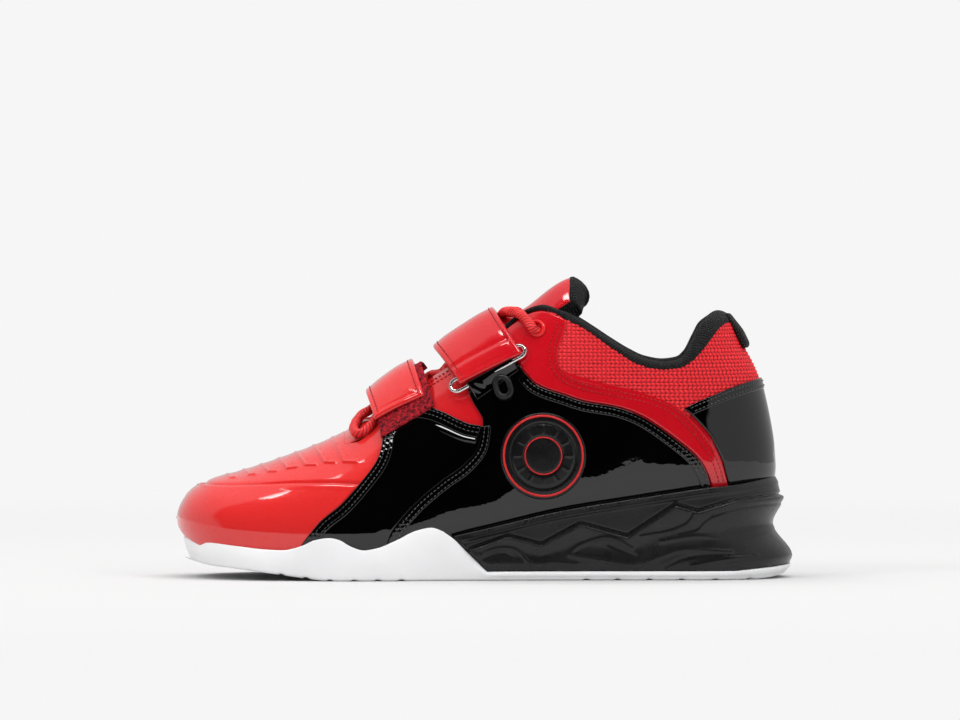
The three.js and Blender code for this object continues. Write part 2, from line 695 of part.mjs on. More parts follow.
function ringSpot(a, b, c) {
  return along(along(along(ringMid, ringAlong, a), ringUp, b), ringFace, c);
}
const ringStraight = RING.half - RING.bars - RING.wire;
function ringSolid(wire) {
  const path = [];
  for (const [centre, start] of [[ringStraight, Math.PI / 2], [-ringStraight, -Math.PI / 2]]) {
    for (let i = 0; i < 7; i += 1) path.push([centre, start - (i * Math.PI) / 6]);
  }
  path.push(path[0]);
  return loft(path.map(([centre, a]) => range(0, 2 * Math.PI, 9).slice(0, -1).map((t) => {
    const r = RING.bars + wire * Math.cos(t);
    return ringSpot(centre + r * Math.cos(a), r * Math.sin(a), wire * Math.sin(t));
  })));
}
const strapRing = ringSolid(RING.wire);
const ringRoom = ringSolid(RING.wire + GAP);

function ringOutline(points) {
  const [u, v] = RING.run;
  return points.map(([a, b]) => [RING.x + a * u - b * v, RING.z + a * v + b * u]);
}
const pastRing = sideBlock(ringOutline([[-40, -0.9], [40, -0.9], [40, -30], [-40, -30]]), -80, -2);
const upperStrap = upperStrapFull.subtract(pastRing).subtract(ringRoom);

// Outline of the keeper loop below the anchor
const KEEPER = { x: 8.8, z: 91.2, radius: 4.8, slot: 1.8, lean: 2.6 };
function stadium(radius) {
  const [u, v] = [0.3, 0.95];
  const ends = [];
  for (const [sign, start] of [[1, 0], [-1, Math.PI]]) {
    for (let i = 0; i <= 5; i += 1) {
      const a = start + (i * Math.PI) / 5;
      const p = radius * Math.cos(a);
      const q = sign * KEEPER.lean * 0.5 + radius * Math.sin(a);
      ends.push([KEEPER.x + p * v - q * u, KEEPER.z + p * u + q * v]);
    }
  }
  return ends;
}
const tabBlock = sideBlock(ringOutline([[-12.8, -1.5], [13, -1.5], [12.4, -5.6], [-11.2, -6]]), -80, -2);
const ringTab = lastSolid(5.6, 0).subtract(lastSolid(LAYER + GAP, 2)).intersect(tabBlock)
  .subtract(ringRoom).subtract(sideBlock(stadium(KEEPER.radius + 2 * GAP), -80, -2));

const keeperBand = lastSolid(4.4, 0).subtract(lastSolid(LAYER + GAP, 2));
const laceKeeper = keeperBand.intersect(sideBlock(stadium(KEEPER.radius), -80, -2))
  .subtract(sideBlock(stadium(KEEPER.slot), -80, -2));

// Top eyelets

const EYELET = { x: 25.2, z: 119.3, outer: 4, inner: 2.3 };
function disc(radius, count) {
  return range(0, 2 * Math.PI, count + 1).slice(0, -1).map((a) => {
    return [EYELET.x + radius * Math.cos(a), EYELET.z + radius * Math.sin(a)];
  });
}
const eyeletBand = lastSolid(2.7, 0).subtract(lastSolid(LAYER + GAP, 2));
const eyeletHole = sideBlock(disc(EYELET.inner, 12), -80, 80);
const eyeletBlock = sideBlock(disc(EYELET.outer, 16), -80, 80).subtract(eyeletHole);
const eyelets = eyeletBand.intersect(eyeletBlock);
const [eyeletA, eyeletB] = eyelets.decompose();

// Laces: crossings over the throat, joined where they cross and closed by an arch at the front

const throatZ = curve([
  [-62, 65.5], [-49.7, 76.5], [-30, 93.5], [-19.4, 100.6], [9.4, 119], [19, 126], [27, 127],
]);
// Stops: station, place across (-1 and 1 are the throat's edges), height of the middle, radius
const LACE = [
  [26.2, -1.5, 5.6, 1.9], [22.5, -1.2, 5.1, 2.1], [18, -0.7, 3.6, 2.3], [13.5, 0, 3.2, 2.4],
  [11, 0.42, 2.5, 1.7], [8.8, 0.66, 1.4, 0.8], [-4, 0.75, 1.5, 1], [-11, 0, 1.6, 1.1],
  [-18.6, -0.75, 1.7, 1.1], [-23, -0.8, 2.4, 1.8], [-29.5, 0, 2.7, 2.2], [-36, 0.8, 2.8, 2.1],
  [-41, 0.8, 2.8, 2], [-46, 0, 2.8, 2], [-50.5, -0.8, 2.4, 1.8], [-54, -0.95, 2.2, 1.5],
];
const ARCH = [
  [-53, -1, 2.1, 1.5], [-56.5, -0.8, 3, 2.1], [-58, 0, 4.8, 2.4], [-56.5, 0.8, 3, 2.1],
  [-53, 1, 2.1, 1.5],
];

function laceSpot([x, across, away], flip) {
  const place = across * flip;
  const side = place < 0 ? -1 : 1;
  const turn = 1 - Math.abs(place) * (1 - turnAt(x, throatZ(x)));
  return skin(x, side, turn, away);
}
function cordSolid(stops, flip) {
  const mids = stops.map((stop) => laceSpot(stop, flip));
  return loft(mids.map((mid, i) => {
    const a = mids[Math.max(0, i - 1)];
    const b = mids[Math.min(mids.length - 1, i + 1)];
    const run = unit([b[0] - a[0], b[1] - a[1], b[2] - a[2]]);
    const side = unit(cross(run, [-0.5, 0, 0.86]));
    const up = cross(side, run);
    const r = stops[i][3];
    return range(0, 2 * Math.PI, 6).slice(0, -1).map((t) => {
      return along(along(mid, side, r * 1.1 * Math.cos(t)), up, r * Math.sin(t));
    });
  }));
}
const laces = cordSolid(LACE, 1).add(cordSolid(LACE, -1)).add(cordSolid(ARCH, 1));

// The part's origin is the middle of its footprint, on the floor.
const SHIFT = [0.6, 0.8, 0];

function finish(solid, name, color, rough, metal) {
  const mesh = solid.translate(SHIFT).getMesh();
  const geometry = new THREE.BufferGeometry();
  const count = mesh.vertProperties.length / mesh.numProp;
  const positions = new Float32Array(count * 3);
  for (let i = 0; i < count; i += 1) {
    for (let j = 0; j < 3; j += 1) positions[3 * i + j] = mesh.vertProperties[i * mesh.numProp + j];
  }
  geometry.setAttribute('position', new THREE.BufferAttribute(positions, 3));
  geometry.setIndex(new THREE.BufferAttribute(new Uint32Array(mesh.triVerts), 1));
  geometry.computeVertexNormals();
  const material = new THREE.MeshStandardMaterial({ color, roughness: rough, metalness: metal });
  const result = new THREE.Mesh(geometry, material);
  result.name = name;
  return result;
}

const group = new THREE.Group();
group.name = 'weightlifting_shoe';
const pieces = [
  [outsole, 'outsole', 0xf2f2f0, 0.5, 0], [wedge, 'heel_wedge', 0x18181a, 0.35, 0],
  [insole, 'insole', 0x202022, 0.9, 0], [upper, 'upper', 0xd8222a, 0.3, 0],
  [midPanelOuter, 'mid_panel_outer', 0x101012, 0.2, 0],
  [midPanelInner, 'mid_panel_inner', 0x101012, 0.2, 0],
  [rearPanelOuter, 'rear_panel_outer', 0x141416, 0.2, 0],
  [rearPanelInner, 'rear_panel_inner', 0x141416, 0.2, 0],
  [bandOuter, 'eyestay_outer', 0xcc1e26, 0.2, 0], [bandInner, 'eyestay_inner', 0xcc1e26, 0.2, 0],
  [counter, 'heel_counter', 0x101012, 0.2, 0], [badge, 'badge', 0x1c1c1e, 0.4, 0],
  [collar, 'collar', 0x0c0c0d, 0.9, 0], [heelTab, 'heel_tab', 0x0c0c0d, 0.9, 0],
  [tongue, 'tongue', 0xc81c24, 0.3, 0], [lowerStrap, 'lower_strap', 0xd8222a, 0.2, 0],
  [loopStrip, 'loop_strip', 0xb01820, 0.9, 0], [upperStrap, 'upper_strap', 0xd8222a, 0.2, 0],
  [strapRing, 'strap_ring', 0xb8b8ba, 0.3, 1], [ringTab, 'ring_tab', 0x101012, 0.2, 0],
  [laceKeeper, 'lace_keeper', 0x101012, 0.3, 0], [eyeletA, 'eyelet_outer', 0xb01820, 0.3, 0],
  [eyeletB, 'eyelet_inner', 0xb01820, 0.3, 0], [laces, 'laces', 0xd8222a, 0.8, 0],
];
for (const [solid, name, color, rough, metal] of pieces) {
  group.add(finish(solid, name, color, rough, metal));
}

export default group;
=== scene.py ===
# %% [markdown]
# # A weightlifting shoe, dressed over its CAD frame
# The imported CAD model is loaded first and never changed. Each cell below makes one piece of the
# shoe as a surface worked out with numpy, and gives it a finish made of shader nodes.

# %% Load the frame
import math

import bmesh
import bpy
import numpy as np
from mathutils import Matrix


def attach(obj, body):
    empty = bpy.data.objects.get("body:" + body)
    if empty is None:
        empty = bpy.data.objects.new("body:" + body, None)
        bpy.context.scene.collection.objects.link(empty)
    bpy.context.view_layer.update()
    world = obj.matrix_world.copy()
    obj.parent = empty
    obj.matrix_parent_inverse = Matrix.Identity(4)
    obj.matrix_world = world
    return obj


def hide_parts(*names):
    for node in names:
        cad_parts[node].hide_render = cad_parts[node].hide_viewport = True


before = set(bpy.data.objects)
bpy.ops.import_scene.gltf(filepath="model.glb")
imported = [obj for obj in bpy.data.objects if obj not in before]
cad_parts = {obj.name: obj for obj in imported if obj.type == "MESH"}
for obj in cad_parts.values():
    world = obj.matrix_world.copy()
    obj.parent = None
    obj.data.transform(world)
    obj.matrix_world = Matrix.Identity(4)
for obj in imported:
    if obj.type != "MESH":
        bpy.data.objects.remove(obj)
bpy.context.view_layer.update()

# %% [markdown]
# ## Small tools
# A shoe's shape is a set of smooth tables: how high, how wide, how full it is at each place along
# its length. `curve` turns a table into a smooth function that never overshoots its rows, and
# `ramp` and `mix` blend one value into another. Lengths are millimetres until a mesh is made.

# %% Curves and blends
MM = 0.001
SIDES = ((-1, "outer"), (1, "inner"))
SHIFT = np.array([0.6, 0.8, 0.0])      # the part's origin is the middle of its footprint


def curve(rows):
    """Smooth function through [place, value] rows: cubic pieces whose slope at a row is the
    weighted harmonic mean of the slopes on both sides, or zero where these differ in sign."""
    places, values = np.array(rows, float).T
    step = np.diff(places)
    slope = np.diff(values) / step
    tangent = np.concatenate([slope[:1], np.zeros(len(slope) - 1), slope[-1:]])
    before = 2 * step[1:] + step[:-1]
    after = step[1:] + 2 * step[:-1]
    same = slope[:-1] * slope[1:] > 0
    left = np.where(same, slope[:-1], 1)
    right = np.where(same, slope[1:], 1)
    tangent[1:-1] = np.where(same, (before + after) / (before / left + after / right), 0)

    def height(x):
        x = np.clip(x, places[0], places[-1])
        i = np.clip(np.searchsorted(places, x, side="right") - 1, 0, len(step) - 1)
        t = (x - places[i]) / step[i]
        ends = (2 * t**3 - 3 * t**2 + 1) * values[i] + (3 * t**2 - 2 * t**3) * values[i + 1]
        bend = (t**3 - 2 * t**2 + t) * tangent[i] + (t**3 - t**2) * tangent[i + 1]
        return ends + step[i] * bend

    return height


def line(rows):
    """Straight pieces between [place, value] rows."""
    places, values = np.array(rows, float).T
    return lambda x: np.interp(x, places, values)


def ramp(x, start, end):
    """0 before start, 1 after end, and 3t^2 - 2t^3 between them."""
    t = np.clip((x - start) / (end - start), 0, 1)
    return t * t * (3 - 2 * t)


def mix(a, b, t):
    """a at t = 0, b at t = 1, in proportion between them."""
    return a + (b - a) * t


def unit(v):
    """Vectors divided by their length."""
    return v / np.maximum(np.linalg.norm(v, axis=-1, keepdims=True), 1e-12)


def soft(points, count):
    """A smooth line through a few points: Catmull-Rom pieces, then even steps of length."""
    p = np.array(points, float)
    p = np.concatenate([2 * p[:1] - p[1:2], p, 2 * p[-1:] - p[-2:-1]])
    t = np.linspace(0, 1, 24, endpoint=False)[:, None, None]
    a, b, c, d = p[:-3], p[1:-2], p[2:-1], p[3:]
    fine = 0.5 * (2 * b + (c - a) * t + (2 * a - 5 * b + 4 * c - d) * t**2
                  + (3 * b - a - 3 * c + d) * t**3)
    fine = np.concatenate([fine.transpose(1, 0, 2).reshape(-1, p.shape[1]), p[-2:-1]])
    return even(fine, count)


def even(points, count):
    """The same line with its points an equal length apart."""
    far = np.concatenate([[0], np.cumsum(np.linalg.norm(np.diff(points, axis=0), axis=1))])
    steps = np.linspace(0, far[-1], count)
    return np.stack([np.interp(steps, far, points[:, k]) for k in range(points.shape[1])], axis=1)


# %% [markdown]
# ## The last
# A shoemaker builds a shoe on a last, the form of a foot. Everything soft on this shoe lies on one
# last too: a point on it is a station along the shoe, a side, and a turn round the section, which
# runs from -1 at the sole's edge over 0 at the widest place to 1 at the ridge.

# %% The last's tables
TIP, BACK = -147.8, 138.4
TOE_ROUND, HEEL_ROUND, TIP_Y, TUCK = -95, 92, 7, 3.5
WALL, GAP, LAYER, RAND, SHEAR_START = 2, 0.3, 1.4, 1.2, 62

top = curve([
    [-147.8, 28.2], [-147, 31.6], [-145, 36], [-142.3, 39.8], [-138, 43.3], [-131.3, 47.2],
    [-120, 50.3], [-108, 54], [-95, 58.5], [-80, 64.2], [-67.9, 70], [-58, 77.3], [-50, 83.8],
    [-39, 92.3], [-28, 100.2], [-19.4, 107.1], [-5, 117], [9.4, 126.3], [18.5, 132.1],
    [24.2, 136.2], [30, 140.3], [36, 144.5], [42, 148], [50, 155], [60, 164], [74, 168], [140, 168]])
floor = curve([
    [-147.8, 27.9], [-147, 24.6], [-146, 22.8], [-144.5, 21], [-142.5, 19.4], [-139, 17.4],
    [-134, 15.2], [-128, 13.4], [-115, 11.2], [-100, 9.7], [-80, 9], [-60, 9.2], [-40, 10.8],
    [-20, 14], [0, 18.4], [20, 23], [40, 27.2], [60, 30.8], [80, 33.6], [100, 35.6],
    [120, 36.6], [139.4, 37]])
widest = curve([
    [-147.8, 28], [-140, 27], [-120, 24], [-90, 22], [-60, 21.5], [-30, 24.5], [0, 33], [30, 43],
    [60, 50], [90, 55], [120, 58], [140, 58]])
outer_side = curve([
    [-95, 46.5], [-80, 50], [-65, 51.3], [-50, 50], [-30, 46.3], [-10, 42.6], [10, 40],
    [30, 38.3], [50, 37.2], [70, 36.8], [92, 36.6], [140, 35]])
inner_side = curve([
    [-95, 48.5], [-80, 49.8], [-65, 48.6], [-50, 45.8], [-30, 41], [-10, 37.4], [10, 35.6],
    [30, 35.2], [50, 35.4], [70, 36], [92, 36.2], [140, 35]])
ridge_side = curve([[-149, 7], [-95, 6], [-60, 5.5], [-20, 4.5], [20, 2], [50, 0], [140, 0]])
fullness = curve([[-149, 2.1], [-90, 2.1], [-60, 1.95], [-30, 1.8], [30, 1.85], [62, 2]])
doming = curve([[-149, 2], [20, 2], [62, 1.7], [140, 1.7]])
back_shift = curve([
    [30, -3.6], [37, -2.6], [45, -0.7], [53, 0], [57, -0.3], [64.6, -0.9], [72, -1.9],
    [80, -3.3], [87.6, -5], [95.3, -7], [103, -10.2], [110, -14], [114.5, -16.2],
    [122, -19.6], [130, -23.5]])


# %% Points and directions on the last
def sharp_width(x, side):
    """The table's width, rounded off at toe and heel by (1 - t^a)^(1/b)."""
    wide = side * np.where(side < 0, outer_side(x), inner_side(x))
    edge = side * np.where(side < 0, outer_side(TOE_ROUND), inner_side(TOE_ROUND))
    t = np.clip((TOE_ROUND - x) / (TOE_ROUND - TIP), 0, 1)
    h = np.clip((x - HEEL_ROUND) / (BACK - HEEL_ROUND), 0, 1)
    toe = TIP_Y + (edge - TIP_Y) * (1 - t**2.15) ** (1 / 2.1)
    heel = wide * (1 - h**2.1) ** (1 / 2.05)
    return np.where(x < TOE_ROUND, toe, np.where(x > HEEL_ROUND, heel, wide))


def soft_width(side):
    """The same with the corner where the toe's curve begins smoothed by a bell-shaped average."""
    places = np.arange(-160, -20, 0.5)
    wide = sharp_width(np.maximum(places, TIP), side)
    bell = np.exp(-0.5 * (np.arange(-40, 41) * 0.5 / 7) ** 2)
    mean = np.convolve(wide, bell / bell.sum(), mode="same")
    share = ramp(places, -126, -112) * (1 - ramp(places, -80, -60))
    return places, mix(wide, mean, share)


SOFT_WIDTHS = {side: soft_width(side) for side in (-1, 1)}


def half_width(x, side):
    """The smoothed width near the toe and the table's own everywhere else."""
    outer, inner = [np.interp(x, *SOFT_WIDTHS[s]) for s in (-1, 1)]
    near_toe = (x > -140) & (x < -50)
    return np.where(near_toe, np.where(side < 0, outer, inner), sharp_width(x, side))


def shear(x, z):
    """How far the heel's back leans forward at this height, fading out towards the front."""
    far = BACK + 20
    return back_shift(z) * ramp(x, SHEAR_START, far) / ramp(BACK, SHEAR_START, far)


def skin_height(x, turn):
    """Straight below the widest line; above it, rise times sin(quarter turn)^(2/doming)."""
    low = widest(x)
    s = np.sin(np.clip(turn, 0, 1) * np.pi / 2)
    return np.where(turn < 0, low + turn * (low - floor(x)),
                    low + (top(x) - low) * s ** (2 / doming(x)))


def skin_point(x, side, turn):
    """A point of the last, with y = middle + half width times cos(quarter turn)^(2/fullness)."""
    x, side, turn = np.broadcast_arrays(np.asarray(x, float), side, turn)
    z = skin_height(x, turn)
    wide = half_width(x, side)
    mid = ridge_side(x) * (1 - ramp(x, 40, 60))
    tuck = np.minimum(TUCK, 0.16 * np.abs(wide - mid))
    c = np.clip(np.cos(np.clip(turn, 0, 1) * np.pi / 2), 0, 1)
    y = np.where(turn < 0, wide - np.sign(wide - mid) * tuck * turn**2,
                 mid + (wide - mid) * c ** (2 / fullness(x)))
    return np.stack([x + shear(x, z), y, z], axis=-1)


def turn_at(x, z):
    """The turn at which the section of station x reaches height z."""
    low = widest(x)
    s = np.clip((z - low) / (top(x) - low), 0, 1)
    return np.where(z < low, -(low - z) / (low - floor(x)),
                    np.arcsin(s ** (doming(x) / 2)) * 2 / np.pi)


def station_at(place, z):
    """The station whose section passes through a place along X at height z, by repeated steps."""
    x = np.array(place, float)
    for _ in range(30):
        x = np.minimum(BACK, x + 0.7 * (place - x - shear(x, z)))
    return x


def skin_normal(x, side, turn):
    """Outward direction: cross product of the two directions along the surface."""
    x, side, turn = np.broadcast_arrays(np.asarray(x, float), side, turn)
    dx = np.maximum(np.minimum(0.8, np.minimum((x - TIP) / 2, (BACK - x) / 2)), 1e-3)
    a = skin_point(np.maximum(x - dx, TIP), side, turn)
    b = skin_point(np.minimum(x + dx, BACK), side, turn)
    c = skin_point(x, side, np.maximum(-1, turn - 0.03))
    d = skin_point(x, side, np.minimum(1, turn + 0.03))
    n = unit(np.cross(b - a, d - c) * -side[..., None])
    n = np.where((turn > 0.995)[..., None], unit(n * [1, 0, 1]), n)
    z = skin_height(x, turn)
    slope = (back_shift(z + 1) - back_shift(z - 1)) / 2
    behind = unit(np.stack([np.ones_like(x), np.zeros_like(x), -slope], axis=-1))
    n = np.where((x > BACK - 0.05)[..., None], behind, n)
    return np.where((x < TIP + 0.2)[..., None], np.array([-1.0, 0, 0]), n)


def skin(x, side, turn, away):
    """A point a given distance off the last."""
    away = np.asarray(away, float)
    return skin_point(x, side, turn) + skin_normal(x, side, turn) * away[..., None]


def on_last(place, z, side):
    """(station, side, turn) for a point seen from the side: its place along X and its height."""
    x = station_at(place, z)
    return x, np.broadcast_to(side, np.shape(x)), turn_at(x, z)


print("The last's ball girth station:", np.round(skin_point(-65.0, -1, 0.0), 1))

# %% [markdown]
# ## Camera
# The photograph looks at the outer side from just above the floor through a long lens, so the
# camera stands six metres off and one pixel covers the same length anywhere on the shoe. It could
# be fitted by a solver; the sole's length and the floor's slant in the picture give it.

# %% Camera
PIXEL = 0.48                              # millimetres of the shoe under one pixel of the photograph
FRAME_WIDTH = 960 * PIXEL
DISTANCE = 6000.0
ELEVATION = math.radians(1.5)
aim = np.array([-2.04, -20.0, 104.9])


def make_camera():
    data = bpy.data.cameras.new("photo_camera")
    data.sensor_width = 36
    data.lens = 36 * DISTANCE / FRAME_WIDTH
    data.clip_start, data.clip_end = 0.1, 60
    camera = bpy.data.objects.new("photo_camera", data)
    bpy.context.scene.collection.objects.link(camera)
    back = np.array([0, -math.cos(ELEVATION), math.sin(ELEVATION)])
    camera.location = (aim + back * DISTANCE) * MM
    camera.rotation_euler = (math.pi / 2 - ELEVATION, 0, 0)
    bpy.context.scene.camera = camera
    return camera


camera = make_camera()
print("lens, mm:", round(camera.data.lens, 1))

# %% [markdown]
# A mesh here is always a grid of points, worked out as one array and handed to Blender in one
# go by `make_object`, with `grid_faces` for its faces. `ring_mesh` closes rows of points into a
# tube, and `slab` lays a layer on the last whose edges round over as cut leather does.

# %% From grids to meshes
UV = "along"


def make_object(name, points, faces, uvs, smooth=True):
    """Puts points (millimetres), four-sided faces and a UV per point into a mesh object."""
    mesh = bpy.data.meshes.new(name)
    mesh.from_pydata((points + SHIFT) * MM, [], faces.tolist())
    layer = mesh.uv_layers.new(name=UV)
    layer.data.foreach_set("uv", uvs[faces.ravel()].astype(np.float32).ravel())
    mesh.polygons.foreach_set("use_smooth", np.full(len(faces), smooth))
    thing = bpy.data.objects.new(name, mesh)
    bpy.context.scene.collection.objects.link(thing)
    return thing


def grid_faces(rows, columns, loop_rows=False, loop_columns=False, start=0):
    """Four corners of each cell of a grid whose points are numbered row by row."""
    i = np.arange(rows if loop_rows else rows - 1)
    j = np.arange(columns if loop_columns else columns - 1)
    i, j = np.meshgrid(i, j, indexing="ij")
    n, m = (i + 1) % rows, (j + 1) % columns
    cells = np.stack([i * columns + j, n * columns + j, n * columns + m, i * columns + m], -1)
    return cells.reshape(-1, 4) + start


def tidy_mesh(thing, join=2e-6):
    """Drops points that no face uses, merges doubled ones, drops faces without area and turns
    all faces outwards."""
    work = bmesh.new()
    work.from_mesh(thing.data)
    unused = [point for point in work.verts if not point.link_faces]
    bmesh.ops.delete(work, geom=unused, context="VERTS")
    bmesh.ops.remove_doubles(work, verts=work.verts, dist=join)
    bmesh.ops.dissolve_degenerate(work, dist=1e-7, edges=work.edges)
    bmesh.ops.recalc_face_normals(work, faces=work.faces)
    work.to_mesh(thing.data)
    work.free()
    thing.data.update()
    return thing


def lengths(points, axis):
    """Distance walked along one axis of a grid of points."""
    step = np.linalg.norm(np.diff(points, axis=axis), axis=-1)
    start = np.zeros_like(np.take(step, [0], axis=axis))
    return np.concatenate([start, np.cumsum(step, axis=axis)], axis=axis)


def walked(points):
    """A UV per point of a grid: the distances walked along both its ways, in metres."""
    return np.stack([lengths(points, 0), lengths(points, 1)], -1).reshape(-1, 2) * MM


def spaced(count, lead):
    """count places from 0 to 1, with a few more close to both ends for the rounded rim."""
    near = lead * np.array([0, 0.06, 0.2, 0.42, 0.7])
    return np.concatenate([near, np.linspace(lead, 1 - lead, count), 1 - near[::-1]])


def slab(name, where, counts, low, high, rim, relief=None, whole=None):
    """A closed layer on the last. where(u, v) gives station, side and turn. Within rim of an
    edge both faces close in on the middle by sqrt(1 - (1 - d/rim)^2), a quarter circle.
    whole(x) lengthens the distance to the far edge where the layer goes on over the ridge."""
    probe = skin_point(*where(*np.meshgrid(np.linspace(0, 1, 24), np.linspace(0, 1, 24),
                                           indexing="ij")))
    long = np.median(lengths(probe, 0)[-1])
    wide = np.median(lengths(probe, 1)[:, -1])
    u, v = np.meshgrid(spaced(counts[0], min(0.2, rim / long)),
                       spaced(counts[1], min(0.3, rim / wide)), indexing="ij")
    x, side, turn = where(u, v)
    base = skin_point(x, side, turn)
    normal = skin_normal(x, side, turn)
    down, over = lengths(base, 0), lengths(base, 1)
    ahead = over[:, -1:] - over + (whole(x) if whole else 0)
    edge = np.minimum(np.minimum(down, down[-1:] - down), np.minimum(over, ahead))
    close = np.sqrt(1 - (1 - np.clip(edge / rim, 0, 1)) ** 2)
    low = low(u, v, side, turn) if callable(low) else low
    high = high(u, v, side, turn) if callable(high) else high
    raised = relief(base, u, v, edge) * close if relief else 0
    middle = (low + high) / 2
    face = base + normal * (mix(middle, high, close) + raised)[..., None]
    back = base + normal * mix(middle, low, close)[..., None]
    rows, columns = u.shape
    uvs = np.stack([down, over], -1).reshape(-1, 2) * MM
    faces = grid_faces(rows, columns)
    faces = np.concatenate([faces, faces[:, ::-1] + rows * columns])
    thing = make_object(name, np.concatenate([face.reshape(-1, 3), back.reshape(-1, 3)]), faces,
                        np.concatenate([uvs, uvs]))
    return tidy_mesh(thing)


def rounded_end(ring, inside):
    """Three smaller copies of an end ring, each pushed further out from the ring inside it."""
    mid = ring.mean(0)
    reach = np.linalg.norm(ring - mid, axis=1).mean()
    push = unit(mid - inside.mean(0)) * reach
    return np.array([mid + push * a + (ring - mid) * b
                     for a, b in ((0.35, 0.85), (0.55, 0.5), (0.6, 0.001))])


def ring_mesh(name, rings, loop=False):
    """Closed rings in a row, each (count, 3), joined to a tube. Unless the tube is a loop, its
    ends are rounded over by three smaller rings. The UV runs along and around, in metres."""
    if not loop:
        first = rounded_end(rings[0], rings[1])[::-1]
        last = rounded_end(rings[-1], rings[-2])
        rings = np.concatenate([first, rings, last])
    rows, columns = rings.shape[:2]
    mids = rings.mean(1)
    far = np.concatenate([[0], np.cumsum(np.linalg.norm(np.diff(mids, axis=0), axis=1))])
    around = lengths(np.concatenate([rings, rings[:, :1]], 1), 1)[:, :-1]
    uvs = np.stack([np.broadcast_to(far[:, None], around.shape), around], -1) * MM
    faces = grid_faces(rows, columns, loop_rows=loop, loop_columns=True)
    return tidy_mesh(make_object(name, rings.reshape(-1, 3), faces, uvs.reshape(-1, 2)))


def tube(name, path, radius, sides=12, flat=1.0, up=(0, 0, 1), loop=False, swell=None):
    """A round or flattened cord along a path: rings of radius r across it, and r * flat in the
    direction up as far as that is square to the path."""
    path = np.array(path, float)
    if loop:
        run = unit(np.roll(path, -1, 0) - np.roll(path, 1, 0))
    else:
        run = unit(np.gradient(path, axis=0))
    up = np.broadcast_to(np.array(up, float), path.shape)
    side = unit(np.cross(run, up))
    up = np.cross(side, run)
    r = np.broadcast_to(radius, len(path)).astype(float)[:, None, None]
    flat = np.broadcast_to(flat, len(path)).astype(float)[:, None, None]
    a = np.linspace(0, 2 * np.pi, sides, endpoint=False)[None, :, None]
    if swell is not None:
        r = r * swell(np.arange(len(path))[:, None, None], a)
    rings = path[:, None] + side[:, None] * r * np.cos(a) + up[:, None] * r * flat * np.sin(a)
    return ring_mesh(name, rings, loop)


def near(points, path):
    """How far each point of a grid is from a line of points, as the least over its pieces."""
    best = np.full(points.shape[:-1], 1e9)
    for a, b in zip(path[:-1], path[1:]):
        span = b - a
        t = np.clip(((points - a) @ span) / max(span @ span, 1e-9), 0, 1)
        best = np.minimum(best, np.linalg.norm(points - a - t[..., None] * span, axis=-1))
    return best


# %% [markdown]
# ## Finishes
# Patent leather is leather under a clear lacquer, so its shader is a dark or red base under a full
# clear coat. The lacquer is never quite flat: a faint slow bump bends the highlights. Cloth gets
# its threads from its own UV map, which is in metres along and across the piece.

# %% Helpers for shader nodes
def material(name, colour, rough, **sockets):
    """A new material and its main shader, with constants set on the shader's own sockets."""
    made = bpy.data.materials.new(name)
    made.use_nodes = True
    shader = made.node_tree.nodes["Principled BSDF"]
    shader.inputs["Base Color"].default_value = (*colour, 1)
    shader.inputs["Roughness"].default_value = rough
    for key, value in sockets.items():
        shader.inputs[key.replace("_", " ")].default_value = value
    return made, shader


def add(made, kind, **settings):
    """A node of a kind, with its settings and the start values of its inputs."""
    node = made.node_tree.nodes.new(kind)
    for key, value in settings.items():
        if hasattr(node, key):
            setattr(node, key, value)
        else:
            node.inputs[key.replace("_", " ")].default_value = value
    return node


def link(made, a, out, b, into):
    """Joins an output of one node to an input of another."""
    made.node_tree.links.new(a.outputs[out], b.inputs[into])


def noise_of(made, scale, detail=3.0, space="Object", stretch=(1, 1, 1), rough=0.5):
    """Noise on object coordinates or on the UV map, with a Mapping node for its stretch."""
    place = add(made, "ShaderNodeTexCoord")
    turn = add(made, "ShaderNodeMapping", Scale=stretch)
    noise = add(made, "ShaderNodeTexNoise", Scale=scale, Detail=detail, Roughness=rough)
    link(made, place, space, turn, "Vector")
    link(made, turn, "Vector", noise, "Vector")
    return noise


def ramp_of(made, source, out, stops):
    """A colour ramp fed by a node's output; stops are (place, colour)."""
    node = add(made, "ShaderNodeValToRGB")
    band = node.color_ramp
    band.elements[0].position, band.elements[0].color = stops[0][0], (*stops[0][1], 1)
    band.elements[1].position, band.elements[1].color = stops[-1][0], (*stops[-1][1], 1)
    for place, colour in stops[1:-1]:
        band.elements.new(place).color = (*colour, 1)
    link(made, source, out, node, "Fac")
    return node


def bump_of(made, source, out, strength, distance, before=None):
    """A bump of a height in metres, laid over another bump if one is given."""
    node = add(made, "ShaderNodeBump", Strength=strength, Distance=distance)
    link(made, source, out, node, "Height")
    if before:
        link(made, before, "Normal", node, "Normal")
    return node


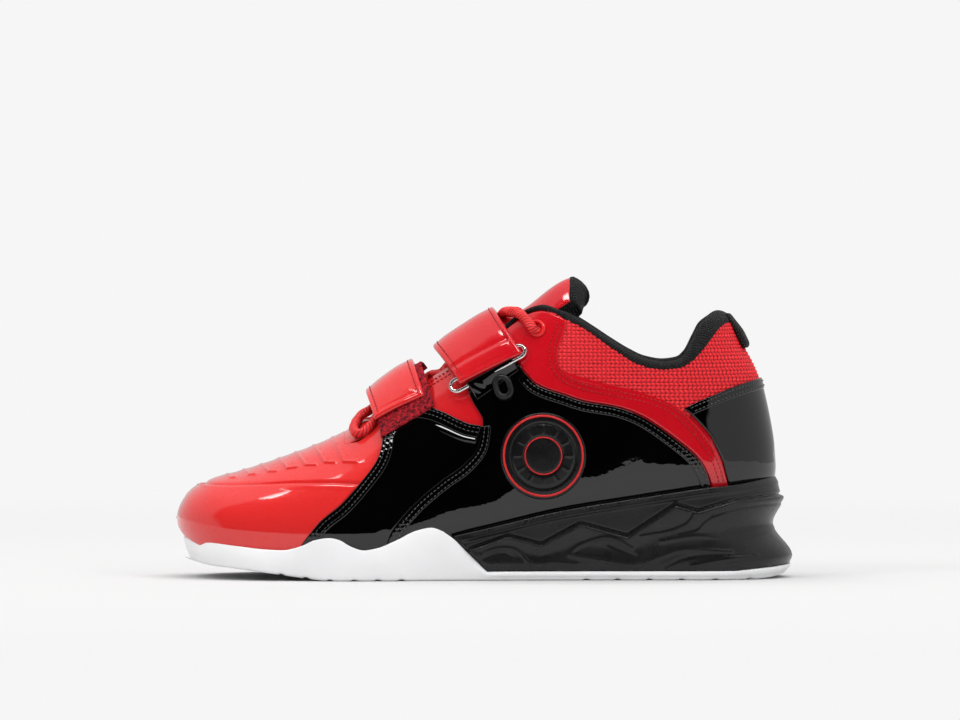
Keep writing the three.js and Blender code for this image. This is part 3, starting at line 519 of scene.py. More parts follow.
def patent(name, dark, light, coat_rough, base, span=None):
    """Lacquered leather: slow colour drift, fine grain under the lacquer, slow waves in it. With
    a span (two places along X in metres) the colour also runs from dark to light along the shoe,
    which is painted light: one end is coloured as if more brightly lit than the other."""
    made, shader = material(name, light, 0.3, Coat_Weight=1.0, Coat_Roughness=coat_rough,
                            Coat_IOR=1.6, Specular_IOR_Level=base)
    drift = noise_of(made, 22, 2)
    tint = ramp_of(made, drift, "Fac", [(0.3, dark), (0.7, light)])
    # Painted light: along the span the colour shifts as if one end of the shoe were lit more brightly.
    if span:
        place = add(made, "ShaderNodeTexCoord")
        axes = add(made, "ShaderNodeSeparateXYZ")
        along = add(made, "ShaderNodeMapRange", From_Min=span[0], From_Max=span[1])
        total = add(made, "ShaderNodeMath", operation="MULTIPLY_ADD")
        total.inputs[1].default_value = 0.15
        link(made, place, "Object", axes, "Vector")
        link(made, axes, "X", along, "Value")
        link(made, drift, "Fac", total, 0)
        link(made, along, "Result", total, 2)
        tint = ramp_of(made, total, "Value", [(0.07, dark), (1.05, light)])
    link(made, tint, "Color", shader, "Base Color")
    grain = bump_of(made, noise_of(made, 900, 4), "Fac", 0.12, 0.0002)
    waves = bump_of(made, noise_of(made, 40, 1), "Fac", 0.06, 0.002)
    link(made, bump_of(made, noise_of(made, 240, 2), "Fac", 0.03, 0.0006, waves), "Normal",
         shader, "Coat Normal")
    link(made, grain, "Normal", shader, "Normal")
    worn = ramp_of(made, noise_of(made, 130, 3), "Fac", [(0.4, (0.24,) * 3), (0.75, (0.38,) * 3)])
    link(made, worn, "Color", shader, "Roughness")
    return made


# %% The shoe's finishes
# The red patent's colour is painted light along the shoe: lighter and warmer towards the toe and deeper
# red towards the heel, for the brighter light on its front.
red_patent = patent("red_patent", (0.645, 0.021, 0.020), (0.505, 0.003, 0.010), 0.04, 0.08,
                    (-0.06, 0.02))
black_patent = patent("black_patent", (0.0006, 0.0006, 0.0006), (0.001, 0.001, 0.001), 0.02, 0.0)


def make_weave():
    """Coarse red mesh: the relief's own height, kept as an attribute, colours it: near black in the
    gaps as painted shade and bright red on the strands' tops as painted light, and stretched noise
    on the UV map stands for the strands' fibres."""
    made, shader = material("red_mesh", (0.6, 0.03, 0.03), 0.55, Specular_IOR_Level=0.3)
    height = add(made, "ShaderNodeAttribute", attribute_name="weave")
    # Painted shade and light by the weave's height: near black low in the gaps, bright on the tops.
    tint = ramp_of(made, height, "Fac", [(0.08, (0.05, 0.0, 0.003)), (0.35, (0.46, 0.008, 0.014)),
                                         (0.9, (0.86, 0.022, 0.03))])
    link(made, tint, "Color", shader, "Base Color")
    strands = noise_of(made, 1400, 3, "UV", (1, 3, 1))
    link(made, bump_of(made, strands, "Fac", 0.5, 0.0003), "Normal", shader, "Normal")
    return made


def make_knit(name, colour, scale, sheen=0.03):
    """Padded knit: fine diagonal ribs as a wave on the UV map, with loose fibre noise over it. The
    ribs also colour it, darker in their grooves and paler on their crests: painted shade and light.
    """
    made, shader = material(name, colour, 0.75, Sheen_Weight=sheen, Specular_IOR_Level=0.3)
    place = add(made, "ShaderNodeTexCoord")
    turn = add(made, "ShaderNodeMapping", Rotation=(0, 0, 0.7))
    cross = add(made, "ShaderNodeMapping", Rotation=(0, 0, -0.7))
    first = add(made, "ShaderNodeTexWave", Scale=scale, Distortion=0.6, Detail=1)
    second = add(made, "ShaderNodeTexWave", Scale=scale, Distortion=0.6, Detail=1)
    link(made, place, "UV", turn, "Vector")
    link(made, place, "UV", cross, "Vector")
    link(made, turn, "Vector", first, "Vector")
    link(made, cross, "Vector", second, "Vector")
    loops = add(made, "ShaderNodeMath", operation="MULTIPLY")
    link(made, first, "Fac", loops, 0)
    link(made, second, "Fac", loops, 1)
    # Painted shade and light: the rib crests are coloured paler and the grooves darker than the yarn.
    pale = tuple(c * 2.6 + 0.008 for c in colour)
    tint = ramp_of(made, loops, "Value", [(0.1, tuple(c * 0.45 for c in colour)), (0.8, pale)])
    link(made, tint, "Color", shader, "Base Color")
    ribs = bump_of(made, loops, "Value", 0.8, 0.0005)
    fibre = bump_of(made, noise_of(made, 2600, 3), "Fac", 0.35, 0.0002, ribs)
    link(made, fibre, "Normal", shader, "Normal")
    return made


def make_rubber(name, dark, light, rough, bump, specular=0.4):
    """Moulded rubber or plastic: faint mottling, a very fine moulded grain."""
    made, shader = material(name, light, rough, Specular_IOR_Level=specular)
    tint = ramp_of(made, noise_of(made, 35, 4), "Fac", [(0.3, dark), (0.7, light)])
    link(made, tint, "Color", shader, "Base Color")
    uneven = ramp_of(made, noise_of(made, 160, 3), "Fac",
                     [(0.3, (rough * 0.8,) * 3), (0.75, (min(1, rough * 1.25),) * 3)])
    link(made, uneven, "Color", shader, "Roughness")
    link(made, bump_of(made, noise_of(made, 1500, 4), "Fac", bump, 0.0003), "Normal",
         shader, "Normal")
    return made


def make_metal():
    """Polished steel with faint scuffs drawn out along the wire."""
    made, shader = material("ring_metal", (0.78, 0.77, 0.76), 0.16, Metallic=1.0)
    scuffs = ramp_of(made, noise_of(made, 700, 5, "UV", (1, 8, 1)), "Fac",
                     [(0.35, (0.10,) * 3), (0.8, (0.3,) * 3)])
    link(made, scuffs, "Color", shader, "Roughness")
    link(made, bump_of(made, noise_of(made, 300, 2), "Fac", 0.08, 0.0004), "Normal",
         shader, "Normal")
    return made


def make_pile():
    """Loop pile: short crossing fibres, with dark patches of painted shade between them."""
    made, shader = material("red_loop", (0.35, 0.01, 0.02), 0.8, Specular_IOR_Level=0.3)
    # Painted shade: dark patches, in a noise of their own, stand for the shade between the loops.
    tint = ramp_of(made, noise_of(made, 700, 4, rough=0.7), "Fac",
                   [(0.40, (0.035, 0.0, 0.003)), (0.62, (0.46, 0.006, 0.016))])
    link(made, tint, "Color", shader, "Base Color")
    link(made, bump_of(made, noise_of(made, 1100, 4), "Fac", 1.0, 0.0006), "Normal",
         shader, "Normal")
    return made


def make_lace():
    """Braided cord: slanting ribs along the UV map, which also colour it darker in their grooves and
    lighter on their crests: painted shade and light.
    """
    made, shader = material("red_lace", (0.7, 0.03, 0.03), 0.5, Specular_IOR_Level=0.4)
    place = add(made, "ShaderNodeTexCoord")
    turn = add(made, "ShaderNodeMapping", Rotation=(0, 0, 0.5))
    ribs = add(made, "ShaderNodeTexWave", Scale=210, Distortion=0.8, Detail=2)
    link(made, place, "UV", turn, "Vector")
    link(made, turn, "Vector", ribs, "Vector")
    # Painted shade and light: darker red in the ribs' grooves, lighter red on their crests.
    tint = ramp_of(made, ribs, "Fac", [(0.1, (0.40, 0.006, 0.010)), (0.7, (0.76, 0.022, 0.022))])
    link(made, tint, "Color", shader, "Base Color")
    link(made, bump_of(made, ribs, "Fac", 0.6, 0.0004), "Normal", shader, "Normal")
    return made


red_mesh = make_weave()
black_knit = make_knit("black_knit", (0.005, 0.005, 0.0055), 300)
lining_knit = make_knit("lining_knit", (0.008, 0.008, 0.0085), 360)
white_rubber = make_rubber("white_rubber", (0.80, 0.80, 0.81), (0.88, 0.88, 0.89), 0.42, 0.05)
heel_plastic = make_rubber("heel_plastic", (0.006, 0.006, 0.0065), (0.011, 0.011, 0.0115), 0.30,
                           0.06)
badge_rubber = make_rubber("badge_rubber", (0.004, 0.004, 0.0045), (0.008, 0.008, 0.0085), 0.28,
                           0.10)
badge_red = make_rubber("badge_red", (0.50, 0.012, 0.014), (0.62, 0.018, 0.018), 0.4, 0.1)
ring_metal = make_metal()
red_loop = make_pile()
red_lace = make_lace()
eyelet_red = make_rubber("eyelet_red", (0.60, 0.012, 0.014), (0.72, 0.018, 0.018), 0.18, 0.04, 0.6)
red_thread = make_rubber("red_thread", (0.26, 0.003, 0.005), (0.40, 0.006, 0.008), 0.5, 0.4)
black_thread = make_rubber("black_thread", (0.010, 0.010, 0.010), (0.05, 0.05, 0.05), 0.25, 0.4, 0.8)
hole_dark = make_rubber("hole_dark", (0.02, 0.001, 0.001), (0.05, 0.002, 0.002), 0.9, 0.2)
print("finishes:", len(bpy.data.materials))


# %% Dressing a piece
def dress(thing, finish, nodes=()):
    """Gives a piece its finish and body, and hides the CAD nodes it stands for."""
    thing.data.materials.clear()
    thing.data.materials.append(finish)
    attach(thing, "root")
    if nodes:
        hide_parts(*nodes)
    print(f"{thing.name}: {len(thing.data.polygons)} faces")
    return thing


# %% [markdown]
# ## The upper
# The real upper is one red patent skin from toe to heel, about 2 mm thick, under all the panels.
# It could be sculpted, but it is a height over the last: soft creases are distances to a few
# listed lines, raised or sunk by a bell curve. A solidify gives it its wall and lining.

# %% Where the upper is open
THROAT_FRONT = -67.5
THROAT = [[THROAT_FRONT, 64.5], [-62, 65.5], [-49.7, 76.5], [-30, 93.5], [-19.4, 100.6], [9.4, 119],
          [19, 126], [26.6, 128.6], [32, 127.2]]
throat_line = soft(THROAT, 120)
throat_z = curve(THROAT)
roll_low = curve([
    [32, 127.6], [36.7, 124.8], [46.8, 119.8], [60.7, 110.2], [74.2, 102.2], [85.2, 100],
    [94.5, 101.4], [102, 106.8], [108.2, 114.4], [113, 120.2], [119, 123], [125, 124.4]])
roll_high = curve([
    [32, 130], [39.6, 128], [46.8, 124], [60.7, 115], [68.9, 110], [77, 106.3], [85.2, 104.9],
    [92.4, 105.9], [96.2, 109], [101, 117], [104.9, 123.4], [109.7, 127.0], [114, 129.0],
    [119.3, 128.0], [125, 125.0]])
COLLAR_HEIGHT = 118


def collar_spot(x):
    """Where a station stands along X at the collar's height."""
    return x + shear(x, COLLAR_HEIGHT)


def roll_at(x, table):
    """A roll table's height at a station, looked up where the leaning heel really has it."""
    spot = collar_spot(x)
    for _ in range(12):
        spot = mix(spot, x + shear(x, table(spot)), 0.6)
    return table(spot)


def open_turn(x):
    """The turn at which the upper's wall ends: at the throat line, then under the collar roll."""
    z = np.where(x < 30, throat_z(x), roll_at(x, roll_low) - 1)
    return turn_at(x, z)


# %% Ribs and creases of the vamp
rand_line = curve([[-150, 43.6], [-135.6, 43.9], [-127, 43.8], [-108.7, 44.6], [-90, 45.6],
                   [-74, 45.8], [-60, 45.2]])
RIBS = [
    # station on the ridge, hook's corner X and Z, hook's end X and Z
    [-73.7, -67.9, 56.4, -61.7, 56.4], [-83.0, -77.0, 55.9, -71.8, 55.9],
    [-91.6, -86.2, 54.4, -80.9, 54.6], [-99.8, -95.0, 52.6, -90.0, 53.4],
    [-108.4, -104.0, 51.0, -100.0, 51.2], [-116.6, -113.2, 49.4, -110.4, 49.6],
    [-124.6, -122.4, 47.8, -120.6, 48.0]]
RIB_HIGH, RIB_WIDE = 0.8, 0.62


def rib_path(row, side):
    """From the ridge down the side to the hook's corner, then back along the hook."""
    ridge, corner, corner_z, end, end_z = row
    turns = np.linspace(1, float(turn_at(np.array(corner), np.array(corner_z))), 12)
    stations = mix(ridge, corner, np.linspace(0, 1, 12) ** 1.6)
    across = skin_point(stations, side, turns)
    hook = skin_point(*on_last(np.linspace(corner, end, 4), np.linspace(corner_z, end_z, 4), side))
    return np.concatenate([across, hook[1:]])


def crease_relief(points):
    """Soft creases: for each line its height times a bell curve of the distance to it."""
    raised = np.zeros(points.shape[:-1])
    for path, high, wide in CREASES:
        far = near(points, skin_point(*on_last(path[:, 0], path[:, 1], -1)))
        raised += high * np.exp(-(far / wide) ** 2)
    return raised


def vamp_relief(points):
    """Ribs raised by a bell curve, the strip beside each one raised less, and the trough that
    follows the rand's upper edge."""
    x, z = points[..., 0], points[..., 2]
    strong = RIB_HIGH * (1 - 0.6 * ramp(z / top(x), 0.93, 1.0))
    raised = np.zeros(points.shape[:-1])
    for row in RIBS:
        for side in (-1, 1):
            far = near(points, rib_path(row, side))
            raised = np.maximum(raised, strong * np.exp(-(far / RIB_WIDE) ** 2)
                                + 0.16 * np.exp(-(far / 2.4) ** 2))
    return raised - 0.75 * np.exp(-((z - rand_line(x) - 0.9) / 0.75) ** 2) + crease_relief(points)


CREASES = [
    # line seen from the side, height, width
    (soft([[-20, 79], [-13, 76.6], [-6, 77.4]], 8), 0.5, 1.4),
    (soft([[-24, 83], [-18, 78], [-8, 75.6]], 8), -0.45, 1.3),
    (soft([[-118, 36], [-100, 37], [-80, 36]], 10), 0.35, 5.0),
    (soft([[-40, 84], [-36, 88], [-33, 92]], 8), -0.5, 1.8)]


def upper_grid(stations, edge_count, ridge_count):
    """Rows of points across the shoe: outer wall, over the throat, inner wall."""
    f = np.linspace(0, 1, edge_count)
    g = np.linspace(0, 1, ridge_count + 2)[1:]
    last = open_turn(stations)[:, None]
    front = turn_at(stations, throat_z(THROAT_FRONT))[:, None]
    last = np.where(stations[:, None] < THROAT_START, front, last)
    wall = -1 + (last + 1) * f[None]
    over = last + (1 - last) * g[None]
    turns = np.concatenate([wall, over, over[:, -2::-1], wall[:, ::-1]], axis=1)
    half = edge_count + ridge_count + 1
    sides = np.where(np.arange(turns.shape[1]) < half, -1, 1)[None] * np.ones_like(turns)
    x = stations[:, None] * np.ones_like(turns)
    return x, sides, turns


EDGE_COUNT, RIDGE_COUNT, ROW_STEP = 28, 14, 1.6
THROAT_START, HEEL_ROWS = -68.0, 104
front_rows = np.concatenate([
    TIP + 8 * (1 - np.cos(np.linspace(0, np.pi / 2, 26))),
    np.arange(TIP + 10, THROAT_START - 0.2, ROW_STEP), [THROAT_START]])
rear_rows = np.concatenate([
    np.arange(THROAT_START + ROW_STEP, HEEL_ROWS, ROW_STEP),
    HEEL_ROWS + (BACK - HEEL_ROWS) * np.sin(np.linspace(0, np.pi / 2, 34))])
upper_rows = np.concatenate([front_rows, rear_rows])


def sunk(points):
    """The skin lies lower where the fine vamp sheet covers it."""
    x, z = points[..., 0], points[..., 2]
    zone = np.maximum(ramp(-x, 68.5, 71.5), 1 - ramp(z, 54, 58)) * ramp(-x, 50, 54)
    return 1.4 * zone * ramp(z - rand_line(x), -1.4, -0.4)


def make_upper():
    """The skin's grid with the faces over the open throat left out."""
    x, side, turn = upper_grid(upper_rows, EDGE_COUNT, RIDGE_COUNT)
    base, normal = skin_point(x, side, turn), skin_normal(x, side, turn)
    points = base + normal * (crease_relief(base) - sunk(base))[..., None]
    count = x.shape[1]
    faces = grid_faces(len(upper_rows), count).reshape(len(upper_rows) - 1, count - 1, 4)
    column = np.arange(count - 1)
    gap = (column >= EDGE_COUNT - 1) & (column < count - EDGE_COUNT)
    keep = np.ones(faces.shape[:2], bool)
    keep[len(front_rows) - 1:, gap] = False
    uvs = walked(base)
    thing = tidy_mesh(make_object("upper_skin", points.reshape(-1, 3), faces[keep], uvs))
    wall = thing.modifiers.new("wall", "SOLIDIFY")
    wall.thickness = WALL * MM
    wall.offset = -1
    return thing


upper_skin = dress(make_upper(), red_patent, ["upper"])
upper_skin.data.materials.append(lining_knit)
upper_skin.modifiers["wall"].material_offset = 1


# %% [markdown]
# On the real vamp a press has raised seven ribs with hooked ends and a trough beside the rand.
# They are narrower than the skin's own grid, so the vamp is a sheet of its own on a fine grid,
# just over the skin, and each rib is a bell curve of the distance to a listed line.

# %% Vamp sheet
VAMP_STEP, VAMP_FRONT, VAMP_BACK = 0.44, -136.4, -46
WALL_POINTS, OVER_POINTS = 56, 62


def make_vamp():
    """The ribbed vamp on a fine grid, from the rand over the ridge, open behind the throat's
    front. Before the throat its rows split the turn in the same shares as at the throat."""
    stations = np.concatenate([
        np.arange(VAMP_FRONT, THROAT_START, VAMP_STEP), [THROAT_START],
        np.arange(THROAT_START + VAMP_STEP, VAMP_BACK, VAMP_STEP)])[:, None]
    start = turn_at(stations, rand_line(stations) - 1.3)
    first = float(turn_at(THROAT_START, rand_line(THROAT_START) - 1.3))
    part = (float(open_turn(np.array(THROAT_START))) - first) / (1 - first)
    last = np.where(stations <= THROAT_START, start + (1 - start) * part, open_turn(stations))
    wall = start + (last - start) * np.linspace(0, 1, WALL_POINTS)[None]
    over = last + (1 - last) * np.linspace(0, 1, OVER_POINTS)[1:][None]
    turn = np.concatenate([wall, over, over[:, -2::-1], wall[:, ::-1]], axis=1)
    half = WALL_POINTS + OVER_POINTS - 1
    side = np.where(np.arange(turn.shape[1]) < half, -1, 1)[None] * np.ones_like(turn)
    x = stations * np.ones_like(turn)
    base, normal = skin_point(x, side, turn), skin_normal(x, side, turn)
    points = base + normal * (vamp_relief(base) + 0.1)[..., None]
    rows, count = x.shape
    faces = grid_faces(rows, count).reshape(rows - 1, count - 1, 4)
    column = np.arange(count - 1)
    keep = np.ones(faces.shape[:2], bool)
    gap = (column >= WALL_POINTS - 1) & (column < count - WALL_POINTS)
    keep[int(np.sum(stations <= THROAT_START)) - 1:, gap] = False
    uvs = walked(base)
    return tidy_mesh(make_object("vamp_ribs", points.reshape(-1, 3), faces[keep], uvs))


dress(make_vamp(), red_patent, ["upper"])

# %% [markdown]
# The toe has a second layer, the rand: it rises 1.2 mm above the skin and ends in a step along
# the toe. It is a slab that runs round the tip, from one mid panel to the other.

# %% Toe rand
RAND_BACK = line([[9, -89.6], [16.7, -88], [27.8, -78.9], [35.9, -68.8], [45.4, -60.2]])


def round_tip(u, back):
    """Stations from the back of the outer side round the tip to the inner side."""
    w = np.abs(2 * u - 1)
    return TIP + (back - TIP) * w**2, np.where(u < 0.5, -1.0, 1.0)


def rand_where(u, v):
    """From the sole's edge up to the rand's upper line, round the tip."""
    x, side = round_tip(u, RAND_BACK(mix(9.3, 45.4, v)))
    return x, side, turn_at(x, mix(floor(x), rand_line(x), v))


def rand_relief(points, u, v, edge):
    """A low welt just inside the rand's upper edge."""
    return 0.35 * np.exp(-((edge - 1.8) / 0.8) ** 2) * (v > 0.5)


dress(slab("toe_rand", rand_where, (170, 38), -0.5, RAND, 0.7, rand_relief,
           lambda x: 3 * ramp(-x, 136.9, 138.5)),
      red_patent, ["upper"])

# %% [markdown]
# ## Panels
# The black and red panels are patent leather cut to shape and stitched on. Each is a patch between
# four edge lines seen from the side: the patch blends the lines (a Coons patch), and every point
# of it is then looked up on the last.


# %% A patch between four lines
def patch(left, right, low, high, side):
    """where(u, v) for a panel: u runs from left to right, v from low to high. Each point is the
    blend of the four lines less the blend of the four corners."""
    left, right, low, high = [even(np.array(p, float), 200) for p in (left, right, low, high)]
    t = np.linspace(0, 1, 200)

    def where(u, v):
        def at(path, s):
            return np.stack([np.interp(s, t, path[:, 0]), np.interp(s, t, path[:, 1])], -1)
        a, b = u[..., None], v[..., None]
        lines = (1 - b) * at(low, u) + b * at(high, u) + (1 - a) * at(left, v) + a * at(right, v)
        corners = ((1 - a) * (1 - b) * low[0] + a * (1 - b) * low[-1]
                   + (1 - a) * b * high[0] + a * b * high[-1])
        spot = lines - corners
        return on_last(spot[..., 0], spot[..., 1], side)

    return where


panel_front = soft([[-89, 12], [-87.8, 16.7], [-78.7, 27.8], [-68.6, 35.9], [-59.5, 46],
                    [-52.4, 55.1], [-49.4, 62.2], [-48.6, 68], [-47, 72]], 80)
seam = soft([[-1.9, 73], [-1.9, 70.5], [-3.9, 62.2], [-11, 54.1], [-21.1, 47], [-33.2, 36.9],
             [-42.3, 26.8], [-46.3, 19.7], [-48, 13]], 80)
mid_top = soft([[-47, 72], [-43, 78], [-36, 82], [-27, 81.6], [-20, 79.4], [-14, 76.6], [-8, 74.2],
                [-3, 73.4], [-1.9, 73]], 60)
band_low = soft([[15.6, 104.6], [18.8, 99.6], [23.3, 94.4], [28.4, 91.6], [37.5, 88.6],
                 [47.6, 85.4], [64.6, 82.3], [79, 76], [98.2, 61.7], [105.4, 52.1], [109, 40]], 100)
band_high = soft([[38.2, 125], [38.5, 120.8], [34.8, 110], [35.8, 102], [41, 97], [50, 94.2],
                  [64.6, 91.4], [80, 88], [93.4, 81.4], [107, 66.5], [113, 55], [117, 40]], 100)
rear_front = np.concatenate([seam[::-1] + [0.7, 0], soft([[-1.3, 75], [-1.6, 77.6], [-5.6, 84],
                                                          [-8.6, 90.4]], 20)])


def shallow_waves(points, u, v, edge):
    """Soft leather between its seams: slow waves of under half a millimetre."""
    a = 0.16 * np.sin(points[..., 0] / 9.0 + points[..., 2] / 13.0)
    b = 0.12 * np.sin(points[..., 2] / 7.0 - points[..., 0] / 17.0 + 1.0)
    return (a + b) * ramp(edge, 0, 8)


for side, place in SIDES:
    mid_where = patch(panel_front, seam[::-1], [panel_front[0], seam[-1]], mid_top, side)
    dress(slab(f"mid_panel_{place}_skin", mid_where, (56, 60), GAP, LAYER, 0.9, shallow_waves),
          black_patent, [f"mid_panel_{place}"])
    rear_where = patch(
        rear_front, np.concatenate([band_low[::-1] - [0.3, 0.5], [[14.4, 103.2]]]),
        soft([[-47.3, 13], [-30, 16], [0, 20], [40, 29.5], [80, 35.5], [108.7, 39.5]], 60),
        [[-8.6, 90.4], [14.4, 103.2]], side)
    dress(slab(f"rear_panel_{place}_skin", rear_where, (84, 56), GAP, LAYER, 0.9, shallow_waves),
          black_patent, [f"rear_panel_{place}"])
    band_where = patch(
        soft([[3.4, 114.2], [9.4, 118], [19, 125], [26.6, 127.6], [32, 126.6], [38.2, 124]], 40),
        [[109.3, 40.2], [117, 40]],
        np.concatenate([[[3.4, 114.2], [3.6, 112.3], [7.4, 104.2]], band_low + [0.3, 0.2]]),
        band_high, side)
    dress(slab(f"eyestay_{place}_skin", band_where, (100, 34), GAP, LAYER, 0.9, shallow_waves),
          red_patent, [f"eyestay_{place}"])

# %% [markdown]
# The heel counter is one stiff panel that wraps round the back of the heel, so its patch runs from
# its outer front edge round the heel to the inner one.

# %% Heel counter
counter_front = line([[40, 117.6], [55, 113.6], [66.5, 107.6], [82, 95]])
counter_top = curve([[95, 82], [96.5, 83], [108, 88], [120, 92.4], [134, 95.8], [140, 96.6]])


def round_heel(u, front):
    """Stations from an outer front edge round the back of the heel to the inner one."""
    w = np.abs(2 * u - 1)
    return BACK - (BACK - front) * w**2, np.where(u < 0.5, -1.0, 1.0)


def counter_where(u, v):
    """Round the heel, from just above the wedge up to the counter's top line."""
    front_z = mix(40, 82, v)
    front = station_at(counter_front(front_z), front_z)
    x, side = round_heel(u, front)
    z = mix(38.5, counter_top(x + shear(x, 90)), v)
    return x, side, turn_at(x, z)


dress(slab("heel_counter_skin", counter_where, (120, 38), GAP, LAYER, 0.9, shallow_waves),
      black_patent, ["heel_counter"])

# %% [markdown]
# The quarter behind the red band is a coarse mesh cloth. Its strands show from a step away, so they
# are real relief: two slanting waves give the height, and the same height paints shade into the
# gaps and light onto the strands' tops.

# %% Mesh quarter
WEAVE_LONG, WEAVE_HIGH = 2.3, 1.75
quarter_low = curve([[30, 96], [38, 94], [50, 90], [64.6, 87], [80, 83], [95, 78], [108, 84],
                     [120, 88.5], [134, 92], [140, 92.6]])


def weave(along, up):
    """Height from 0 to 1: bars laid in rows, each row shifted half a bar, by a product of sines."""
    row = up / WEAVE_HIGH
    lean = 0.45 * (row - np.floor(row)) * np.where(np.floor(row) % 2, 1, -1)
    shifted = along / WEAVE_LONG + 0.5 * np.floor(row) + lean
    bars = np.abs(np.sin(np.pi * shifted)) ** 0.6
    return bars * np.abs(np.sin(np.pi * (row - np.floor(row)))) ** 0.5


def make_quarter():
    """The cloth's grid round the heel, each point raised by the weave's height."""
    u, v = np.meshgrid(np.linspace(0, 1, 570), np.linspace(0, 1, 84), indexing="ij")
    x, side = round_heel(u, 30.0)
    high = np.maximum(roll_at(x, roll_low) + 0.6, quarter_low(x) + 4)
    z = mix(quarter_low(x + shear(x, 90)), high, v)
    turn = turn_at(x, z)
    base, normal = skin_point(x, side, turn), skin_normal(x, side, turn)
    along = lengths(base, 0)
    height = weave(along[:, 36:37] * np.ones_like(z), z)
    points = base + normal * (0.10 + 0.65 * height)[..., None]
    uvs = np.stack([along, z], -1).reshape(-1, 2) * MM
    thing = make_object("quarter_mesh", points.reshape(-1, 3), grid_faces(*u.shape), uvs)
    # The height is kept for the finish, which by it paints shade into the gaps and light onto the tops.
    shade = thing.data.attributes.new("weave", "FLOAT", "POINT")
    shade.data.foreach_set("value", height.ravel().astype(np.float32))
    return thing


dress(make_quarter(), red_mesh, ["upper"])

# %% [markdown]
# ## Collar, tab and tongue
# The collar is a foam roll in black knit. Its section is a closed ring of ten points off the last,
# made round by a smooth closed curve, and carried along the topline.


# %% Collar roll
def closed_soft(ring, count):
    """Closed Catmull-Rom curve through ring points, for rows of rings at once."""
    a, b = np.roll(ring, 1, axis=1), ring
    c, d = np.roll(ring, -1, axis=1), np.roll(ring, -2, axis=1)
    t = (np.arange(count) / count)[None, None, :, None]
    a, b, c, d = [p[:, :, None] for p in (a, b, c, d)]
    fine = 0.5 * (2 * b + (c - a) * t + (2 * a - 5 * b + 4 * c - d) * t**2
                  + (3 * b - a - 3 * c + d) * t**3)
    return fine.reshape(ring.shape[0], -1, 3)


def collar_rings(x, side):
    """Ten points of the roll's section at each station: over its top, down the outside, in under
    it and up the padded inside."""
    low = roll_at(x, roll_low)
    high = np.maximum(roll_at(x, roll_high), low + 2.2)
    tall = high - low
    soften = ramp(x, 40, 60)
    depth, pad = mix(2.4, 24, soften), mix(1.5, 5.6, soften)
    rows = [
        (high, -0.5 * pad), (high - 0.12 * tall, -0.2 * pad), (low + 0.45 * tall, 0.7 + 0 * pad),
        (low + 0.1, 0.2 + 0 * pad), (low + 1.5, -WALL - 3 * GAP + 0 * pad),
        (low - depth, -WALL - 1.5 + 0 * pad), (low - depth, -WALL - 2 - 0.1 * pad),
        (low - 0.3 * depth, -WALL - pad), (low + 0.2 * tall, -WALL - pad),
        (high - 0.1 * tall, -0.92 * pad)]
    return np.stack([skin(x, side, turn_at(x, z), away) for z, away in rows], axis=1)


u = np.linspace(0, 1, 361)
collar_x, collar_side = round_heel(u, 36.0)
collar_roll = ring_mesh("collar_roll", closed_soft(collar_rings(collar_x, collar_side), 4))
dress(collar_roll, black_knit, ["collar"])

# %% [markdown]
# A thin black cord finishes the throat's edge. It is a plain tube along the edge's line.

# %% Piping along the throat
PIPING = [[6.5, 118.6], [9.4, 120.2], [19, 127.2], [26.6, 129.9], [32, 128.8], [38, 126.2]]
for side, place in SIDES:
    path = soft(PIPING, 60)
    spots = skin(*on_last(path[:, 0], path[:, 1], side), np.full(len(path), -0.2))
    dress(tube(f"throat_piping_{place}", spots, 1.5, 14), black_knit)

# %% [markdown]
# The heel tab is the same cloth turned down over the back, so it is a soft slab round the heel.

# %% Heel tab
TAB_FRONT = 136.3


def tab_where(u, v):
    x, side = round_heel(u, TAB_FRONT)
    return x, side, turn_at(x, mix(109.6, 126.5, v))


def tab_thick(u, v, side, turn):
    """Thin where it leaves the collar, thickest at its round lower end."""
    return 1.7 + 2.1 * (1 - ramp(v, 0.35, 1.0))


dress(slab("heel_tab_cloth", tab_where, (60, 40), 0.1, tab_thick, 2.8), black_knit,
      ["heel_tab"])

# %% [markdown]
# The tongue is a padded knit cushion with a red patent face sewn on. Both could be one solid with
# two finishes, but the seam between them shows, so each is a slab and the face ends short of it.

# %% Tongue
tongue_side = curve([[-66, 64], [-50, 72], [-30, 84], [-10, 95.5], [10, 107], [22, 117.5],
                     [32, 127], [41, 134]])


def tongue_place(x, v):
    """Across the tongue from its outer edge over the ridge to its inner edge."""
    low = turn_at(x, tongue_side(x))
    w = np.abs(2 * v - 1)
    return x, np.where(v < 0.5, -1.0, 1.0), mix(1.0, low, w)


TONGUE_FRONT, TONGUE_END = -64.0, 42.4


def tongue_where(u, v):
    """u runs from the tongue's root to its top, v across it."""
    return tongue_place(mix(TONGUE_FRONT, TONGUE_END, u), v)


def tongue_dip(x):
    """How deep the tongue's face lies: level with the vamp at its root, lowest between the
    straps where the lace presses on it, and a little proud near its top."""
    level = mix(-0.15, -3.3, ramp(x, -60, -54))
    return (level - 2.6 * np.exp(-((x + 25) / 11) ** 2) + 1.5 * np.exp(-((x - 31) / 9) ** 2)
            + 2.1 * np.exp(-((x - 10) / 7) ** 2))


def tongue_back(u, v, side, turn):
    """The cushion's inner face, deepest near the top."""
    x = mix(TONGUE_FRONT, TONGUE_END, u)
    return tongue_dip(x) - (4.5 + 11.5 * ramp(x, 12, 38))


def pad_front(u, v, side, turn):
    """The cushion's outer face, 1 mm under the red one and level with it at the top."""
    x = mix(TONGUE_FRONT, TONGUE_END, u)
    return tongue_dip(x) - 1.0 + 2.4 * ramp(x, 37.6, 41)


tongue_pad = dress(slab("tongue_pad", tongue_where, (90, 36), tongue_back, pad_front, 4.6),
                   black_knit, ["tongue"])
FACE_FRONT, FACE_END = -69.4, 39.8


